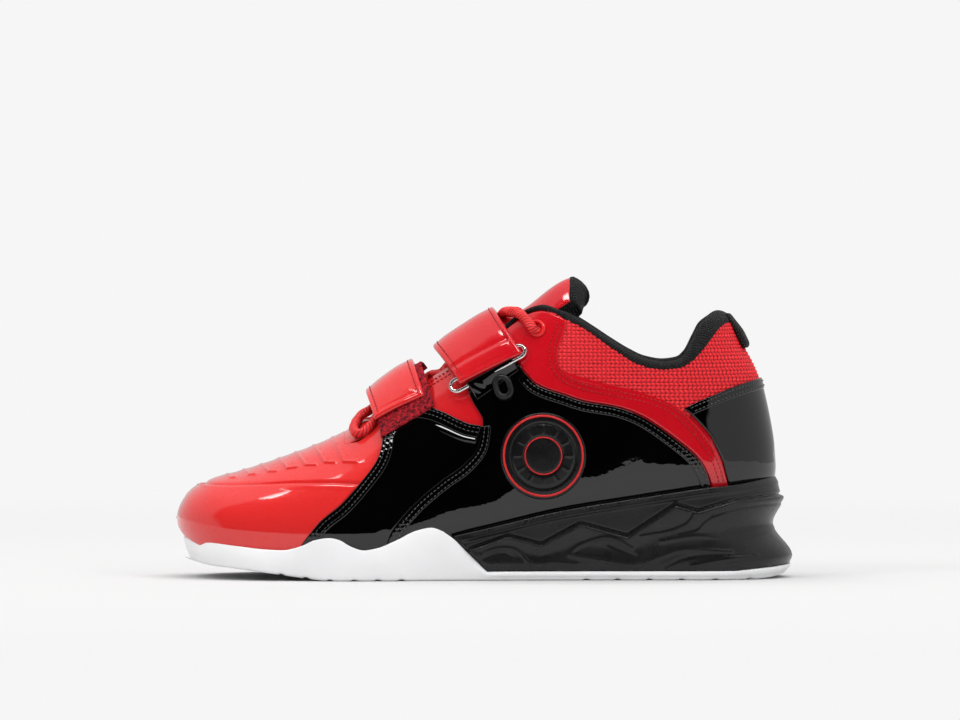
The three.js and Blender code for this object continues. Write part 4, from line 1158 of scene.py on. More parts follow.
def face_where(u, v):
    """The same for the red face, which ends short of the cushion's edges."""
    return tongue_place(mix(FACE_FRONT, FACE_END, u), mix(0.03, 0.97, v))


def face_folds(points, u, v, edge):
    """Slow cross folds of the tongue's face near its top."""
    x = points[..., 0]
    return 0.4 * np.sin(x / 3.4 + 2 * v) * np.exp(-((x - 14) / 12) ** 2) * ramp(edge, 0, 6)


def face_top(u, v, side, turn):
    return tongue_dip(mix(FACE_FRONT, FACE_END, u))


def face_under(u, v, side, turn):
    return face_top(u, v, side, turn) - 1.1


dress(
    slab("tongue_face", face_where, (110, 36), face_under, face_top, 0.9, face_folds),
    red_patent, ["tongue"])

# %% [markdown]
# ## Straps
# A strap leaves the inner side, crosses the laces and closes on the outer side. Its edges lean
# back as they come down, so its place is worked out from where the edge crosses the ridge.


# %% Where a strap runs
def edge_station(x0, lean, turn):
    """Station where an edge that starts at x0 on the ridge has leaned back by its drop."""
    x = x0 + 0 * turn
    for _ in range(12):
        x = x0 + lean * (top(x0) - skin_height(x, turn))
    return x


def strap_where(front, middle, rear, ends, root, share, swell=0.0):
    """where(u, v) of a strap. front, middle and rear are (x0, lean); ends are the turns of its
    outer end at both edges; root is the turn at its inner end; share is the outer side's part;
    swell is how far the front edge bows forward over the ridge."""
    x0s, leans = np.array([front, middle, rear]).T

    def where(u, v):
        x0 = np.interp(v, [0, 0.5, 1], x0s)
        lean = np.interp(v, [0, 0.5, 1], leans)
        outer = mix(mix(ends[0], ends[1], v), 1.0, np.clip(u / share, 0, 1))
        inner = mix(1.0, root, np.clip((u - share) / (1 - share), 0, 1))
        side = np.where(u <= share, -1.0, 1.0)
        turn = np.where(u <= share, outer, inner)
        bow = swell * (1 - v) ** 2 * ramp(turn, 0.4, 0.95)
        return edge_station(x0, lean, turn) - bow, side, turn

    return where


def crown(high, drop):
    """A face of the strap: its height, less drop[0] (1 - v)^2 and drop[1] v^2 towards its edges."""
    return lambda u, v, side, turn: high(turn) - drop[0] * (1 - v) ** 2 - drop[1] * v**2


WELT = 2.6                            # the stitches' distance from a strap's edge
LOWER_DROP, UPPER_DROP = (0.3, 1.4), (0.4, 1.0)
lower_ends = (float(turn_at(-50.0, 73.0)), float(turn_at(-27.6, 85.6)))


def lower_lift(turn):
    """Height of the lower strap over the last: it stands off most where it crosses the lace."""
    return mix(5.6, 9.9, ramp(turn, 0.45, 0.9))


lower_where = strap_where((-50.8, 0.05), (-41, 0.13), (-30.6, 0.21), lower_ends, 0.06, 0.42, 1.2)


def strap_relief(points, u, v, edge):
    """A stitched border: a shallow trough under the stitches, the edge beyond it a little lower."""
    trough = -0.28 * np.exp(-((edge - WELT) / 0.5) ** 2)
    puff = 0.35 * ramp(edge, 3, 9)
    return trough + puff + 0.08 * np.sin(points[..., 2] / 4.0 + points[..., 0] / 9.0)


dress(
    slab("lower_strap_skin", lower_where, (120, 36),
         crown(lambda t: lower_lift(t) - 2.2, LOWER_DROP), crown(lower_lift, LOWER_DROP), 1.0,
         strap_relief),
    red_patent, ["lower_strap"])

upper_ends = (float(turn_at(-9.5, 92.2)), float(turn_at(17.5, 105.6)))


def upper_lift(turn):
    """Height of the upper strap over the last."""
    return mix(5.7, 7.5, ramp(turn, 0.5, 0.9))


upper_where = strap_where((-17.8, 0.42), (-6, 0.53), (7, 0.64), upper_ends, 0.08, 0.38, 3.6)


def upper_relief(points, u, v, edge):
    """Stitched borders, the soft puff between them, and the fold round the ring's bar."""
    trough = -0.28 * np.exp(-((edge - WELT) / 0.5) ** 2)
    fold = -0.5 * np.exp(-((u - 0.085) / 0.01) ** 2) + 0.3 * (1 - ramp(u, 0.07, 0.09))
    return trough + 0.3 * ramp(edge, 3, 9) + 0.10 * np.sin(points[..., 0] / 6.0) + fold


dress(
    slab("upper_strap_skin", upper_where, (120, 36),
         crown(lambda t: upper_lift(t) - 3.2, UPPER_DROP), crown(upper_lift, UPPER_DROP), 1.5,
         upper_relief),
    red_patent, ["upper_strap"])

# %% [markdown]
# Under the lower strap's end the fuzzy half of the fastener shows. Its pile could be hair; at this
# size three crossing waves in the surface and a fibrous finish read the same.

# %% Loop strip under the lower strap
base_ends = (float(turn_at(-49.0, 66.5)), float(turn_at(-28.0, 79.0)))
strip_where = strap_where((-50.2, 0.05), (-39, 0.13), (-27.8, 0.21), base_ends, 1.04, 0.999)


def pile_relief(points, u, v, edge):
    """Loops of pile: fine bumps from three crossing waves."""
    x, y, z = points[..., 0], points[..., 1], points[..., 2]
    return 0.5 * np.sin(x * 4.1 + z * 1.7) * np.sin(z * 3.7 - x * 1.3) * np.sin(y * 2.9 + x)


def pile_face(below):
    """A face of the strip: this far below the strap, and lower at its rear edge by the ridge."""
    return lambda u, v, side, turn: lower_lift(turn) - below - 3.4 * v**2 * ramp(turn, 0.8, 1)


dress(
    slab("loop_strip_pile", strip_where, (110, 60), pile_face(3.9), pile_face(2.7), 0.6,
         pile_relief),
    red_loop, ["loop_strip"])

# %% [markdown]
# ## Ring, tab, keeper and eyelets
# The steel ring is a wire bent to a long loop: a circle carried round a stadium shape that stands
# square off the last. The keeper is a moulded loop of the same kind, made without its flat foot.

# %% Steel ring
RING_SPOT, RING_HALF, RING_BARS, RING_WIRE = (2.0, 99.1), 21.0, 3.3, 1.0
RING_AWAY, RING_RUN = 3.75, np.array([0.87, 0.49])


def outer_spot(place, z, away):
    """A point off the outer side, from its place along X, its height and its distance."""
    return skin(*on_last(np.array(place), np.array(z), -1), np.array(away))


ring_mid = outer_spot(*RING_SPOT, RING_AWAY)
ring_ends = [outer_spot(RING_SPOT[0] + s * RING_RUN[0] * 14, RING_SPOT[1] + s * RING_RUN[1] * 14,
                        RING_AWAY) for s in (1, -1)]
ring_along = unit(ring_ends[0] - ring_ends[1])
ring_out = skin_normal(np.array(RING_SPOT[0]), np.array(-1), turn_at(RING_SPOT[0], RING_SPOT[1]))
ring_up = unit(np.cross(ring_along, ring_out))
ring_face = np.cross(ring_up, ring_along)


def stadium(half, radius, count):
    """A loop of two half circles whose centres lie half apart from the middle."""
    a = np.linspace(np.pi / 2, -np.pi / 2, count)
    right = np.stack([half + radius * np.cos(a), radius * np.sin(a)], -1)
    left = np.stack([-half - radius * np.cos(a), -radius * np.sin(a)], -1)
    straight = np.linspace(0, 1, 12)[1:-1, None]
    return np.concatenate([right, mix(right[-1], left[0], straight), left,
                           mix(left[-1], right[0], straight)])


loop = stadium(RING_HALF - RING_BARS - RING_WIRE, RING_BARS, 24)
ring_path = ring_mid + loop[:, :1] * ring_along + loop[:, 1:] * ring_up
dress(tube("strap_ring_wire", ring_path, RING_WIRE, 16, up=ring_face, loop=True),
      ring_metal, ["strap_ring"])

# %% Tab and keeper
def ring_spot(a, b):
    """A point seen from the side, a along the ring and b across it."""
    return [RING_SPOT[0] + a * RING_RUN[0] - b * RING_RUN[1],
            RING_SPOT[1] + a * RING_RUN[1] + b * RING_RUN[0]]


tab_side = patch(
    [ring_spot(-11.6, -9.0), ring_spot(-12.8, -1.2)], [ring_spot(12.4, -6.6), ring_spot(13, -1.2)],
    [ring_spot(-11.6, -9.0), ring_spot(12.4, -6.6)],
    [ring_spot(-12.8, -1.2), ring_spot(13, -1.2)], -1)


def tab_height(u, v, side, turn):
    """The leather rises from the panel to the ring in a hollow curve."""
    return mix(1.9, 5.3, ramp(v, 0.05, 0.95))


def tab_folds(points, u, v, edge):
    """Small gathers where the tab is pulled round the ring."""
    pleats = 0.16 * np.sin((u + 0.3 * v) * 36) * np.exp(-((u - 0.12) / 0.12) ** 2)
    return pleats * ramp(edge, 0.3, 2) * (1 - 0.5 * v)


dress(slab("ring_tab_fold", tab_side, (70, 34), LAYER - 0.2, tab_height, 0.9, tab_folds),
      black_patent, ["ring_tab"])

KEEPER_SPOT, KEEPER_RADIUS, KEEPER_SLOT, KEEPER_LEAN = (8.8, 91.2), 4.8, 1.8, 2.6
keeper_loop = stadium(KEEPER_LEAN * 0.5, (KEEPER_RADIUS + KEEPER_SLOT) / 2, 16)
keeper_u, keeper_v = np.array([0.3, 0.95])
keeper_side = np.stack([
    KEEPER_SPOT[0] + keeper_loop[:, 1] * keeper_v - keeper_loop[:, 0] * keeper_u,
    KEEPER_SPOT[1] + keeper_loop[:, 1] * keeper_u + keeper_loop[:, 0] * keeper_v], -1)
keeper_at = on_last(keeper_side[:, 0], keeper_side[:, 1], -1)
keeper_path = skin(*keeper_at, np.full(len(keeper_side), 2.9))
dress(tube("lace_keeper_loop", keeper_path, 1.42, 16, up=skin_normal(*keeper_at), loop=True),
      heel_plastic, ["lace_keeper"])

# %% Eyelets
EYELET_SPOT, EYELET_MID, EYELET_WIRE = (25.2, 119.3), 3.2, 0.9
for side, place in SIDES:
    a = np.linspace(0, 2 * np.pi, 40, endpoint=False)
    at = on_last(EYELET_SPOT[0] + EYELET_MID * np.cos(a), EYELET_SPOT[1] + EYELET_MID * np.sin(a),
                 side)
    path = skin(*at, np.full(40, 1.75))
    dress(tube(f"eyelet_{place}_ring", path, EYELET_WIRE, 12, up=skin_normal(*at), loop=True),
          eyelet_red, [f"eyelet_{place}"])

# %% [markdown]
# ## Lace
# One round braided lace runs from the outer top eyelet under both straps, round the front of the
# throat and back to the inner top eyelet. It is a tube along listed stops on the last, pressed
# flat where a strap lies on it.

# %% Lace route
throat_height = curve([[-62, 65.5], [-49.7, 76.5], [-30, 93.5], [-19.4, 100.6], [9.4, 119],
                       [19, 126], [27, 127]])
LACE = [
    # station, place across (-1 and 1 are the throat's edges), height of the middle, radius
    [24.2, -1.40, 2.6, 2.3], [20.5, -1.22, 3.2, 2.4], [16.5, -0.98, 3.2, 2.4], [13, -0.7, 2.9, 2.4],
    [9.5, -0.3, 1.6, 2.4], [5, 0.35, -0.6, 2.1], [-4, 0.75, -1.1, 1.9], [-11, 0, -1.2, 1.9],
    [-18.6, -0.75, -2.2, 1.9], [-23, -0.8, -3.2, 1.9], [-29.5, 0, -3.2, 1.9], [-36, 0.8, -1.8, 1.9],
    [-41, 0.8, -0.6, 1.9], [-46, 0, 0.2, 2], [-50.5, -0.8, 1.0, 1.9], [-53.6, -1.0, 2.0, 1.9]]
ARCH = [
    # the loop that shows in front of the lower strap, in the same four columns
    [-57.0, -1.02, 1.8, 2.1], [-60.6, -0.92, 2.4, 2.2], [-61.8, -0.62, 2.4, 2.2],
    [-59.0, -0.38, 2.2, 2.2], [-54.6, -0.24, 1.2, 2.2], [-51.0, 0, 0.2, 2.1],
    [-54.6, 0.24, 1.2, 2.2], [-59.0, 0.38, 2.2, 2.2], [-61.8, 0.62, 2.4, 2.2],
    [-60.6, 0.92, 2.4, 2.2], [-57.0, 1.02, 1.8, 2.1]]
LACE_POINTS, LACE_WIDTH, LACE_IN_HOLE = 540, 4.8, 1.9


def lace_stops(rows, flip):
    """Points on the last and radii for rows of stops; flip -1 mirrors them across the throat."""
    stops = np.array(rows, float)
    across = stops[:, 1] * flip
    side = np.where(across < 0, -1.0, 1.0)
    turn = 1 - np.abs(across) * (1 - turn_at(stops[:, 0], throat_height(stops[:, 0])))
    return skin(stops[:, 0], side, turn, stops[:, 2]), stops[:, 3]


there, there_r = lace_stops(LACE, 1)
arch, arch_r = lace_stops(ARCH, 1)
back, back_r = lace_stops(LACE[::-1], -1)
eyelet_in = [skin(*on_last(np.array(EYELET_SPOT[0]), np.array(EYELET_SPOT[1]), s), np.array(-1.6))
             for s in (-1, 1)]
lace_stop = np.concatenate([eyelet_in[:1], there, arch, back, eyelet_in[1:]])
lace_radius = np.concatenate([[LACE_IN_HOLE], there_r, arch_r, back_r, [LACE_IN_HOLE]])
share = np.concatenate([[0], np.cumsum(np.linalg.norm(np.diff(lace_stop, axis=0), axis=1))])
lace_path = soft(lace_stop, LACE_POINTS)
lace_fat = np.interp(np.linspace(0, 1, LACE_POINTS), share / share[-1], lace_radius)


def braid(i, a):
    """Slanting strands round the lace: small swellings that wind along it."""
    return 1 + 0.05 * np.sin(3 * a + i * 0.55) + 0.04 * np.sin(3 * a - i * 0.55)


lace_up = np.array([-0.5, 0, 0.86])
lace = tube("lace", lace_path, LACE_WIDTH / 2, 14, up=lace_up, swell=braid,
            flat=np.clip(lace_fat / (LACE_WIDTH / 2), 0.4, 1.05))
dress(lace, red_lace, ["laces"])

# %% [markdown]
# ## Sole
# The sole is two mouldings: a white rubber outsole and a black plastic wedge that lifts the heel.
# Both are rings round the same plan, so one function gives a point of their side from a station, a
# side, a distance outside the plan and a height.

# %% The plan
SOLE_TIP, SOLE_BACK = -145.5, 139.4
sole_outer = curve([
    [-95, 49.8], [-80, 53.3], [-65, 54.7], [-50, 53.5], [-30, 50], [-10, 46.4], [10, 43.8],
    [30, 42.2], [50, 41.2], [70, 40.7], [95, 40.3], [140, 38.6]])
sole_inner = curve([
    [-95, 51.8], [-80, 53.1], [-65, 52], [-50, 49.3], [-30, 44.8], [-10, 41.3], [10, 39.5],
    [30, 39], [50, 39.2], [70, 39.8], [95, 40], [140, 38.6]])
tread = curve([
    [-145.5, 9.2], [-142, 7.8], [-135, 6.7], [-125, 5.9], [-115, 5], [-100, 3.1], [-86, 1.2],
    [-74, 0], [126, 0], [133, 0.6], [139.4, 2]])
white_top = curve([
    [-145.5, 19.4], [-139.5, 18.5], [-129, 17.4], [-117, 16], [-107, 15], [-97, 14.6],
    [-88, 16.8], [-81.5, 19.6], [-75, 20.6], [-70.5, 19.8], [-64, 16.4], [-58, 14.7],
    [-52, 15.6], [-42, 19.6], [-32, 24.2], [-25.5, 25.4], [-20.5, 23.8]])
slant_line = line([[-20.5, 23.8], [-15, 19.9], [0.5, 4.3], [118, 4.3], [139.4, 6.6]])
wedge_top = curve([
    [-15.5, 21.2], [-2.6, 24.2], [9.8, 27.1], [32, 32.4], [45, 34.8], [74, 39.4], [87, 41.4],
    [103, 43.8], [120, 45.4], [139.4, 48.6]])
ZIGZAG = [[-15, 15.5], [-9.8, 14.6], [10.8, 21.8], [26.6, 17.5], [45.4, 27.6], [67.9, 21.4],
          [91, 36.6], [101.5, 33.4], [118.3, 38.6], [139.4, 40]]
zigzag = line(ZIGZAG)
SLANT_GAP = 0.45
SOLE_TOE, SOLE_HEEL = -92, 93         # stations where the plan begins to round off


def outsole_top(x):
    """Height of the white wall: its wavy forefoot edge, then the slant down under the wedge."""
    return np.where(x < -20.5, white_top(x), slant_line(x))


def sole_plan(x, side):
    """Half width of the sole, rounded at toe and heel as the last's is."""
    table = np.where(side < 0, sole_outer(x), sole_inner(x))
    start = np.where(side < 0, sole_outer(SOLE_TOE), sole_inner(SOLE_TOE))
    t = np.clip((SOLE_TOE - x) / (SOLE_TOE - SOLE_TIP), 0, 1)
    h = np.clip((x - SOLE_HEEL) / (SOLE_BACK - SOLE_HEEL), 0, 1)
    toe = TIP_Y + (side * start - TIP_Y) * (1 - t**2.15) ** (1 / 2.1)
    heel = side * table * (1 - h**2.2) ** (1 / 2.1)
    return np.where(x < SOLE_TOE, toe, np.where(x > SOLE_HEEL, heel, side * table))


def sole_out(x, side):
    """Direction square to the plan, pointing out."""
    d = np.maximum(np.minimum(0.5, np.minimum((x - SOLE_TIP) * 0.4, (SOLE_BACK - x) * 0.4)), 1e-4)
    slope = (sole_plan(np.minimum(x + d, SOLE_BACK), side)
             - sole_plan(np.maximum(x - d, SOLE_TIP), side)) / (2 * d)
    n = unit(np.stack([-side * slope, side + 0 * slope, 0 * slope], -1))
    n = np.where((x <= SOLE_TIP + 0.01)[..., None], np.array([-1.0, 0, 0]), n)
    return np.where((x >= SOLE_BACK - 0.01)[..., None], np.array([1.0, 0, 0]), n)


def sole_point(x, side, out, z):
    """A point this far outside the plan at height z."""
    x, side, out, z = np.broadcast_arrays(np.asarray(x, float), side, out, z)
    n = sole_out(x, side)
    return np.stack([x + n[..., 0] * out, sole_plan(x, side) + n[..., 1] * out, z], -1)


# %% Outsole
GROOVE_DEEP = 0.8
GROOVES = [
    # station of a groove across the tread, its bend in degrees
    [-108, -9], [-93, -6], [-78, -3], [-63, 0], [-48, 3], [-33, 6], [52, 4], [66, 3], [80, 2],
    [94, 0], [108, -2], [121, -5]]


def outsole_rim(x):
    """Tables of the wall: how far its lip and lower edge stand outside the plan."""
    t = ramp(x, 96, 138)
    toe = ramp(-x, 105, 145)
    edge = mix(mix(0.4, 1.6, ramp(x, -20, 10)), 5.4, t) - 3 * toe
    lip = mix(mix(0, 2.2, ramp(x, -20, 10)), 7.6, t)
    return lip, edge


def groove_mask(x, y):
    """1 inside a tread groove: bars across the sole, each bent a little at the middle line."""
    deep = np.zeros_like(x)
    for place, bend in GROOVES:
        line_x = place - np.abs(y) * np.tan(np.radians(bend * 1.4))
        deep = np.maximum(deep, np.exp(-((x - line_x) / 1.3) ** 6))
    return deep


def perimeter(count):
    """Stations and sides once round the plan, from the tip along the outer side and back."""
    a = np.linspace(0, np.pi, count)
    x = mix(SOLE_TIP, SOLE_BACK, 0.5 - 0.5 * np.cos(a))
    return (np.concatenate([x, x[-2:0:-1]]),
            np.concatenate([-np.ones(count), np.ones(count - 2)]))


def make_outsole():
    """One row of points round the plan after another: out across the tread, up the wall, over
    its lip and in across the deck that carries the upper."""
    x, side = perimeter(300)
    high, low = outsole_top(x), tread(x)
    lip, edge = outsole_rim(x)
    tall = high - low
    foot = np.minimum(1.4, 0.35 * tall)
    centre = np.stack([x, mix(TIP_Y, 0, ramp(x, -145, -60)), 0 * x], -1)
    rows = []
    under_edge = sole_point(x, side, edge - 1.6, low)
    for share in np.linspace(0, 1, 22):
        spot = mix(centre, under_edge, share)
        spot[:, 2] = low + GROOVE_DEEP * groove_mask(spot[:, 0], spot[:, 1]) * ramp(tall, 2, 5)
        rows.append(spot)
    mark = groove_mask(x, 0.9 * np.abs(sole_plan(x, side))) * ramp(tall, 2, 5)
    for t in np.linspace(0, 1, 6)[1:]:
        out = edge - 1.6 + 1.6 * math.sin(t * math.pi / 2)
        rise = low + foot * (1 - math.cos(t * math.pi / 2)) + GROOVE_DEEP * mark * (1 - 0.6 * t)
        rows.append(sole_point(x, side, out, rise))
    for t in np.linspace(0, 1, 9)[1:]:
        out = mix(edge, lip, t) + 0.5 * np.sin(np.pi * t)
        rows.append(sole_point(x, side, out, mix(low + foot, high - 0.5, t)))
    for t in np.linspace(0, 1, 4)[1:]:
        rows.append(sole_point(x, side, lip - 0.5 * (1 - math.cos(t * math.pi / 2)),
                               high - 0.5 + 0.5 * math.sin(t * math.pi / 2)))
    ledge = sole_point(x, side, -5.5, high)
    rows.append(mix(rows[-1], ledge, 0.5))
    rows.append(ledge)
    deck = np.minimum(high - 0.1, np.maximum(floor(x) - 0.6, low + 0.8))
    rows.append(sole_point(x, side, -6.0, deck))
    for share in (0.6, 0.0):
        spot = mix(centre, sole_point(x, side, -6.0, 0 * x), share)
        spot[:, 2] = deck
        rows.append(spot)
    grid = np.stack(rows, 1)
    far = lengths(grid, 1)
    around = np.concatenate([[0], np.cumsum(np.linalg.norm(np.diff(under_edge, axis=0), axis=1))])
    uvs = np.stack([np.broadcast_to(around[:, None], far.shape), far], -1).reshape(-1, 2) * MM
    faces = grid_faces(*grid.shape[:2], loop_rows=True)
    return tidy_mesh(make_object("outsole_rubber", grid.reshape(-1, 3), faces, uvs))


dress(make_outsole(), white_rubber, ["outsole"])

# %% [markdown]
# Under the tip the red leather is drawn in and cemented to the sole, which stands back there. A
# short sheet of straight lines closes the gap that the rand's slab would leave.

# %% Toe tuck
def make_tuck():
    """Red leather drawn in under the tip: straight lines from the rand's lower edge to the sole's
    rim, along the stations round the tip."""
    u, v = np.meshgrid(np.linspace(0, 1, 121), np.linspace(0, 1, 12), indexing="ij")
    x, side = round_tip(u, -128.0)
    above = skin(x, side, -0.93, np.full_like(x, 0.7))
    rim = np.maximum(x, SOLE_TIP)
    below = sole_point(rim, side, -2.6, outsole_top(rim) - 0.4)
    spots = mix(above, below, v[..., None])
    spots[..., 2] -= 0.8 * np.sin(np.pi * v)
    uvs = walked(spots)
    return make_object("toe_tuck", spots.reshape(-1, 3), grid_faces(*u.shape)[:, ::-1], uvs)


dress(make_tuck(), red_patent)

# %% [markdown]
# The wedge is one hard moulding whose side carries a zigzag facet and flowing ridges. Its section
# is a table of eight levels that changes along the shoe, and the ridges are bell curves of the
# distance to listed lines, so the whole relief is in the mesh and not in a texture.

# %% Heel wedge
WEDGE_LINES = [
    # line along the side, height (minus for a groove), width
    (np.array(ZIGZAG), -1.1, 0.6),
    (soft([[108.2, 31], [115.9, 33.4], [127.9, 35.5], [139, 36]], 12), -0.7, 0.8),
    (soft([[74.2, 22.3], [87.6, 24.7], [95.8, 28.1], [98.6, 32.4]], 12), -0.45, 0.7),
    (soft([[92.9, 22.8], [100.6, 24.7], [103.4, 27.6], [107.8, 31]], 12), -0.45, 0.7),
    (soft([[-7.4, 10.3], [4.6, 15.1], [14.2, 14.6], [21.4, 7.9]], 12), 0.55, 0.9),
    (soft([[-5.5, 8.9], [7, 13.2], [14, 10.8]], 10), -0.35, 0.6),
    (soft([[31.4, 8.9], [43, 7.9]], 6), 0.35, 0.7),
    (soft([[39.9, 12.5], [44.3, 16.3], [55.3, 20.2], [61.9, 19.6], [69.7, 15.2]], 14), 0.5, 0.9),
    (soft([[58.6, 17.4], [71.9, 11.4]], 6), -0.35, 0.7),
    (soft([[41, 11.9], [55.3, 9.7], [71.9, 7.5], [84, 11.4], [95, 14.7], [115.9, 13.6]], 16), 0.55, 1.0),
    (soft([[86, 6.5], [96, 11], [110, 12.4], [124, 12.0]], 12), -0.35, 0.7),
    (soft([[98, 6.5], [112, 9.8], [126, 11.6]], 10), 0.35, 0.8),
    (soft([[84, 18.5], [100, 21], [116, 20], [130, 22], [139, 24]], 12), 0.3, 0.9)]


def wedge_out(x, z, low, high):
    """How far the wedge's side stands outside the plan at a height, before its lines."""
    t = ramp(x, 96, 138)
    room = ramp(high - low, 0.5, 12)
    edge = zigzag(x)
    levels = np.stack([
        low, np.minimum(low + 3.2, mix(low, high, 0.2)), mix(mix(low, edge, 0.55), 26, t),
        edge - 1.2, edge, high - 4.2, high - 3, high], -1)
    for k in range(1, 8):
        levels[..., k] = np.minimum(np.maximum(levels[..., k], levels[..., k - 1] + 0.06 * room + 0.01),
                                    high - (7 - k) * 0.02)
    outs = np.stack([
        mix(1.9, 7.2, t), mix(2.3, 8.4, t), mix(1.7, -0.9, t), mix(2.4, 4.3, t), mix(0.6, 2.7, t),
        mix(0.5, 1.8, t), mix(1.7, 1.6, t), mix(0.6, 0.3, t)], -1) * room[..., None]
    made = np.zeros_like(z)
    for k in range(7):
        a, b = levels[..., k], levels[..., k + 1]
        s = np.clip((z - a) / np.maximum(b - a, 1e-6), 0, 1)
        s = s * s * (3 - 2 * s) if k not in (3, 5) else s
        made = np.where((z >= a) | (k == 0), mix(outs[..., k], outs[..., k + 1], s), made)
    return made, room


def make_wedge():
    """Rows round the wedge from its front, along the outer side, to its front again: centre,
    underside, side wall, roof and centre."""
    there, back = [mix(-14.9, SOLE_BACK, np.sin(np.linspace(0, np.pi / 2, n))) for n in (340, 220)]
    x = np.concatenate([there, back[-2::-1]])
    side = np.where(np.arange(len(x)) < len(there), -1.0, 1.0)
    low, high = outsole_top(x) + SLANT_GAP, wedge_top(x)
    high = np.maximum(high, low + 0.3)
    t = np.linspace(0, 1, 74)[None]
    z = mix(low[:, None], high[:, None] - 0.4, t)
    xx = x[:, None] * np.ones_like(z)
    out, room = wedge_out(xx, z, low[:, None] * np.ones_like(z), high[:, None] * np.ones_like(z))
    flat = np.stack([xx, z], -1)
    fade = ramp(z, low[:, None], low[:, None] + 1.5)
    for path, tall, wide in WEDGE_LINES:
        out = out + tall * np.exp(-(near(flat, path) / wide) ** 2) * room * fade
    wall = sole_point(xx, side[:, None] * np.ones_like(z), out, z)
    bottom = sole_point(x, side, -8.0, low)[:, None]
    seat = np.maximum(low + 0.1, floor(x) - 0.5)
    roof = [sole_point(x, side, inset, level)[:, None]
            for inset, level in ((out[:, -1] - 0.4, high), (-3.0, high - 0.2), (-6.5, seat))]
    centre = np.stack([x, 0 * x, low], -1)[:, None]
    middle = np.stack([x, 0 * x, seat], -1)[:, None]
    grid = np.concatenate([centre, bottom, wall, *roof, middle], 1)
    far = lengths(grid, 1)
    around = lengths(grid, 0)[:, 20:21] * np.ones_like(far)
    uvs = np.stack([around, far], -1).reshape(-1, 2) * MM
    return tidy_mesh(make_object("heel_wedge_moulding", grid.reshape(-1, 3),
                                 grid_faces(*grid.shape[:2]), uvs))


dress(make_wedge(), heel_plastic, ["heel_wedge"])

# %% [markdown]
# The sock liner lies on the sole inside. Only its heel shows, through the collar, so it is a plain
# sheet 3 mm thick that follows the last's floor.

# %% Insole
INSOLE_INSET = -3.1


def make_insole():
    """Upper and lower face between the last's edges, drawn in, and a skirt that joins them."""
    u, v = np.meshgrid(0.5 - 0.5 * np.cos(np.linspace(0, np.pi, 90)), np.linspace(-1, 1, 31),
                       indexing="ij")
    x = mix(-131.0, 135.5, u)
    side = np.where(v < 0, -1.0, 1.0)
    edge = skin(x, side, -1.0, np.full_like(x, INSOLE_INSET))
    mid = skin(x, -side, -1.0, np.full_like(x, INSOLE_INSET))
    centre = (edge + mid) / 2
    spot = mix(centre, edge, np.abs(v)[..., None])
    cup = 1.6 * np.abs(v) ** 5
    face = spot.copy()
    face[..., 2] = floor(x) + 3.3 + cup * 0.1
    back = spot.copy()
    back[..., 2] = floor(x) + 0.1
    uvs = walked(face)
    rows, columns = u.shape
    faces = grid_faces(rows, columns)
    border = np.concatenate([np.arange(columns), np.arange(1, rows) * columns + columns - 1,
                             (rows - 1) * columns + np.arange(columns - 2, -1, -1),
                             np.arange(rows - 2, 0, -1) * columns])
    after = np.roll(border, -1)
    skirt = np.stack([border, after, after + rows * columns, border + rows * columns], -1)
    faces = np.concatenate([faces, faces[:, ::-1] + rows * columns, skirt])
    points = np.concatenate([face.reshape(-1, 3), back.reshape(-1, 3)])
    return tidy_mesh(make_object("insole_cloth", points, faces, np.concatenate([uvs, uvs])))


dress(make_insole(), lining_knit, ["insole"])

# %% [markdown]
# ## Badge
# A domed rubber disc with two red rings, moulded in one piece and glued on. It is a grid of
# radius by angle laid on the last, and its height is a function of the radius. Its middle carries
# plain concentric steps and short ticks.

# %% Badge disc
BADGE_SPOT, BADGE_RADIUS, BADGE_SIDES, BADGE_HOLE = (27.6, 59.3), 20.6, 160, 0.2


def badge_disc(name, inner, outer, low, high, finish, nodes=(), steps=8, profile=None):
    """A ring or disc on the outer panel. Its rim rounds over by a quarter circle, and a ring
    wider than BADGE_HOLE inside gets an inner wall too."""
    radius = np.linspace(inner, outer, steps)
    a = np.linspace(0, 2 * np.pi, BADGE_SIDES, endpoint=False)
    r, angle = np.meshgrid(radius, a, indexing="ij")
    at = on_last(BADGE_SPOT[0] + r * np.cos(angle), BADGE_SPOT[1] + r * np.sin(angle), -1)
    base, normal = skin_point(*at), skin_normal(*at)
    edge = np.minimum(outer - r, r - inner if inner > BADGE_HOLE else outer)
    close = np.sqrt(1 - (1 - np.clip(edge / 0.7, 0, 1)) ** 2)
    tall = high + (profile(r, angle) if profile else 0)
    face = base + normal * mix(low, tall, close)[..., None]
    back = base + normal * (low - 0.3)
    total = len(radius) * BADGE_SIDES
    faces = grid_faces(len(radius), BADGE_SIDES, loop_columns=True)
    wall = grid_faces(2, BADGE_SIDES, loop_columns=True)
    on_face = wall < BADGE_SIDES
    inner_wall = np.where(on_face, wall, wall - BADGE_SIDES + total)
    outer_wall = inner_wall + total - BADGE_SIDES
    parts = [faces, faces[:, ::-1] + total, outer_wall]
    if inner > BADGE_HOLE:
        parts.append(inner_wall[:, ::-1])
    uvs = np.stack([r * np.cos(angle), r * np.sin(angle)], -1).reshape(-1, 2) * MM
    thing = make_object(name, np.concatenate([face.reshape(-1, 3), back.reshape(-1, 3)]),
                        np.concatenate(parts), np.concatenate([uvs, uvs]))
    return dress(tidy_mesh(thing), finish, nodes)


def badge_steps(r, angle):
    """Concentric steps, lower between the radii, with twelve shallow ticks."""
    ring = -0.5 * np.exp(-((r - 15.4) / 0.6) ** 2) - 0.5 * np.exp(-((r - 9.0) / 0.6) ** 2)
    band = ramp(r, 10, 11) * (1 - ramp(r, 13.6, 14.6))
    ticks = 0.35 * np.exp(-(np.sin(angle * 6) / 0.25) ** 2) * band
    return ring + ticks + 0.3 * np.cos(r / BADGE_RADIUS * np.pi / 2)


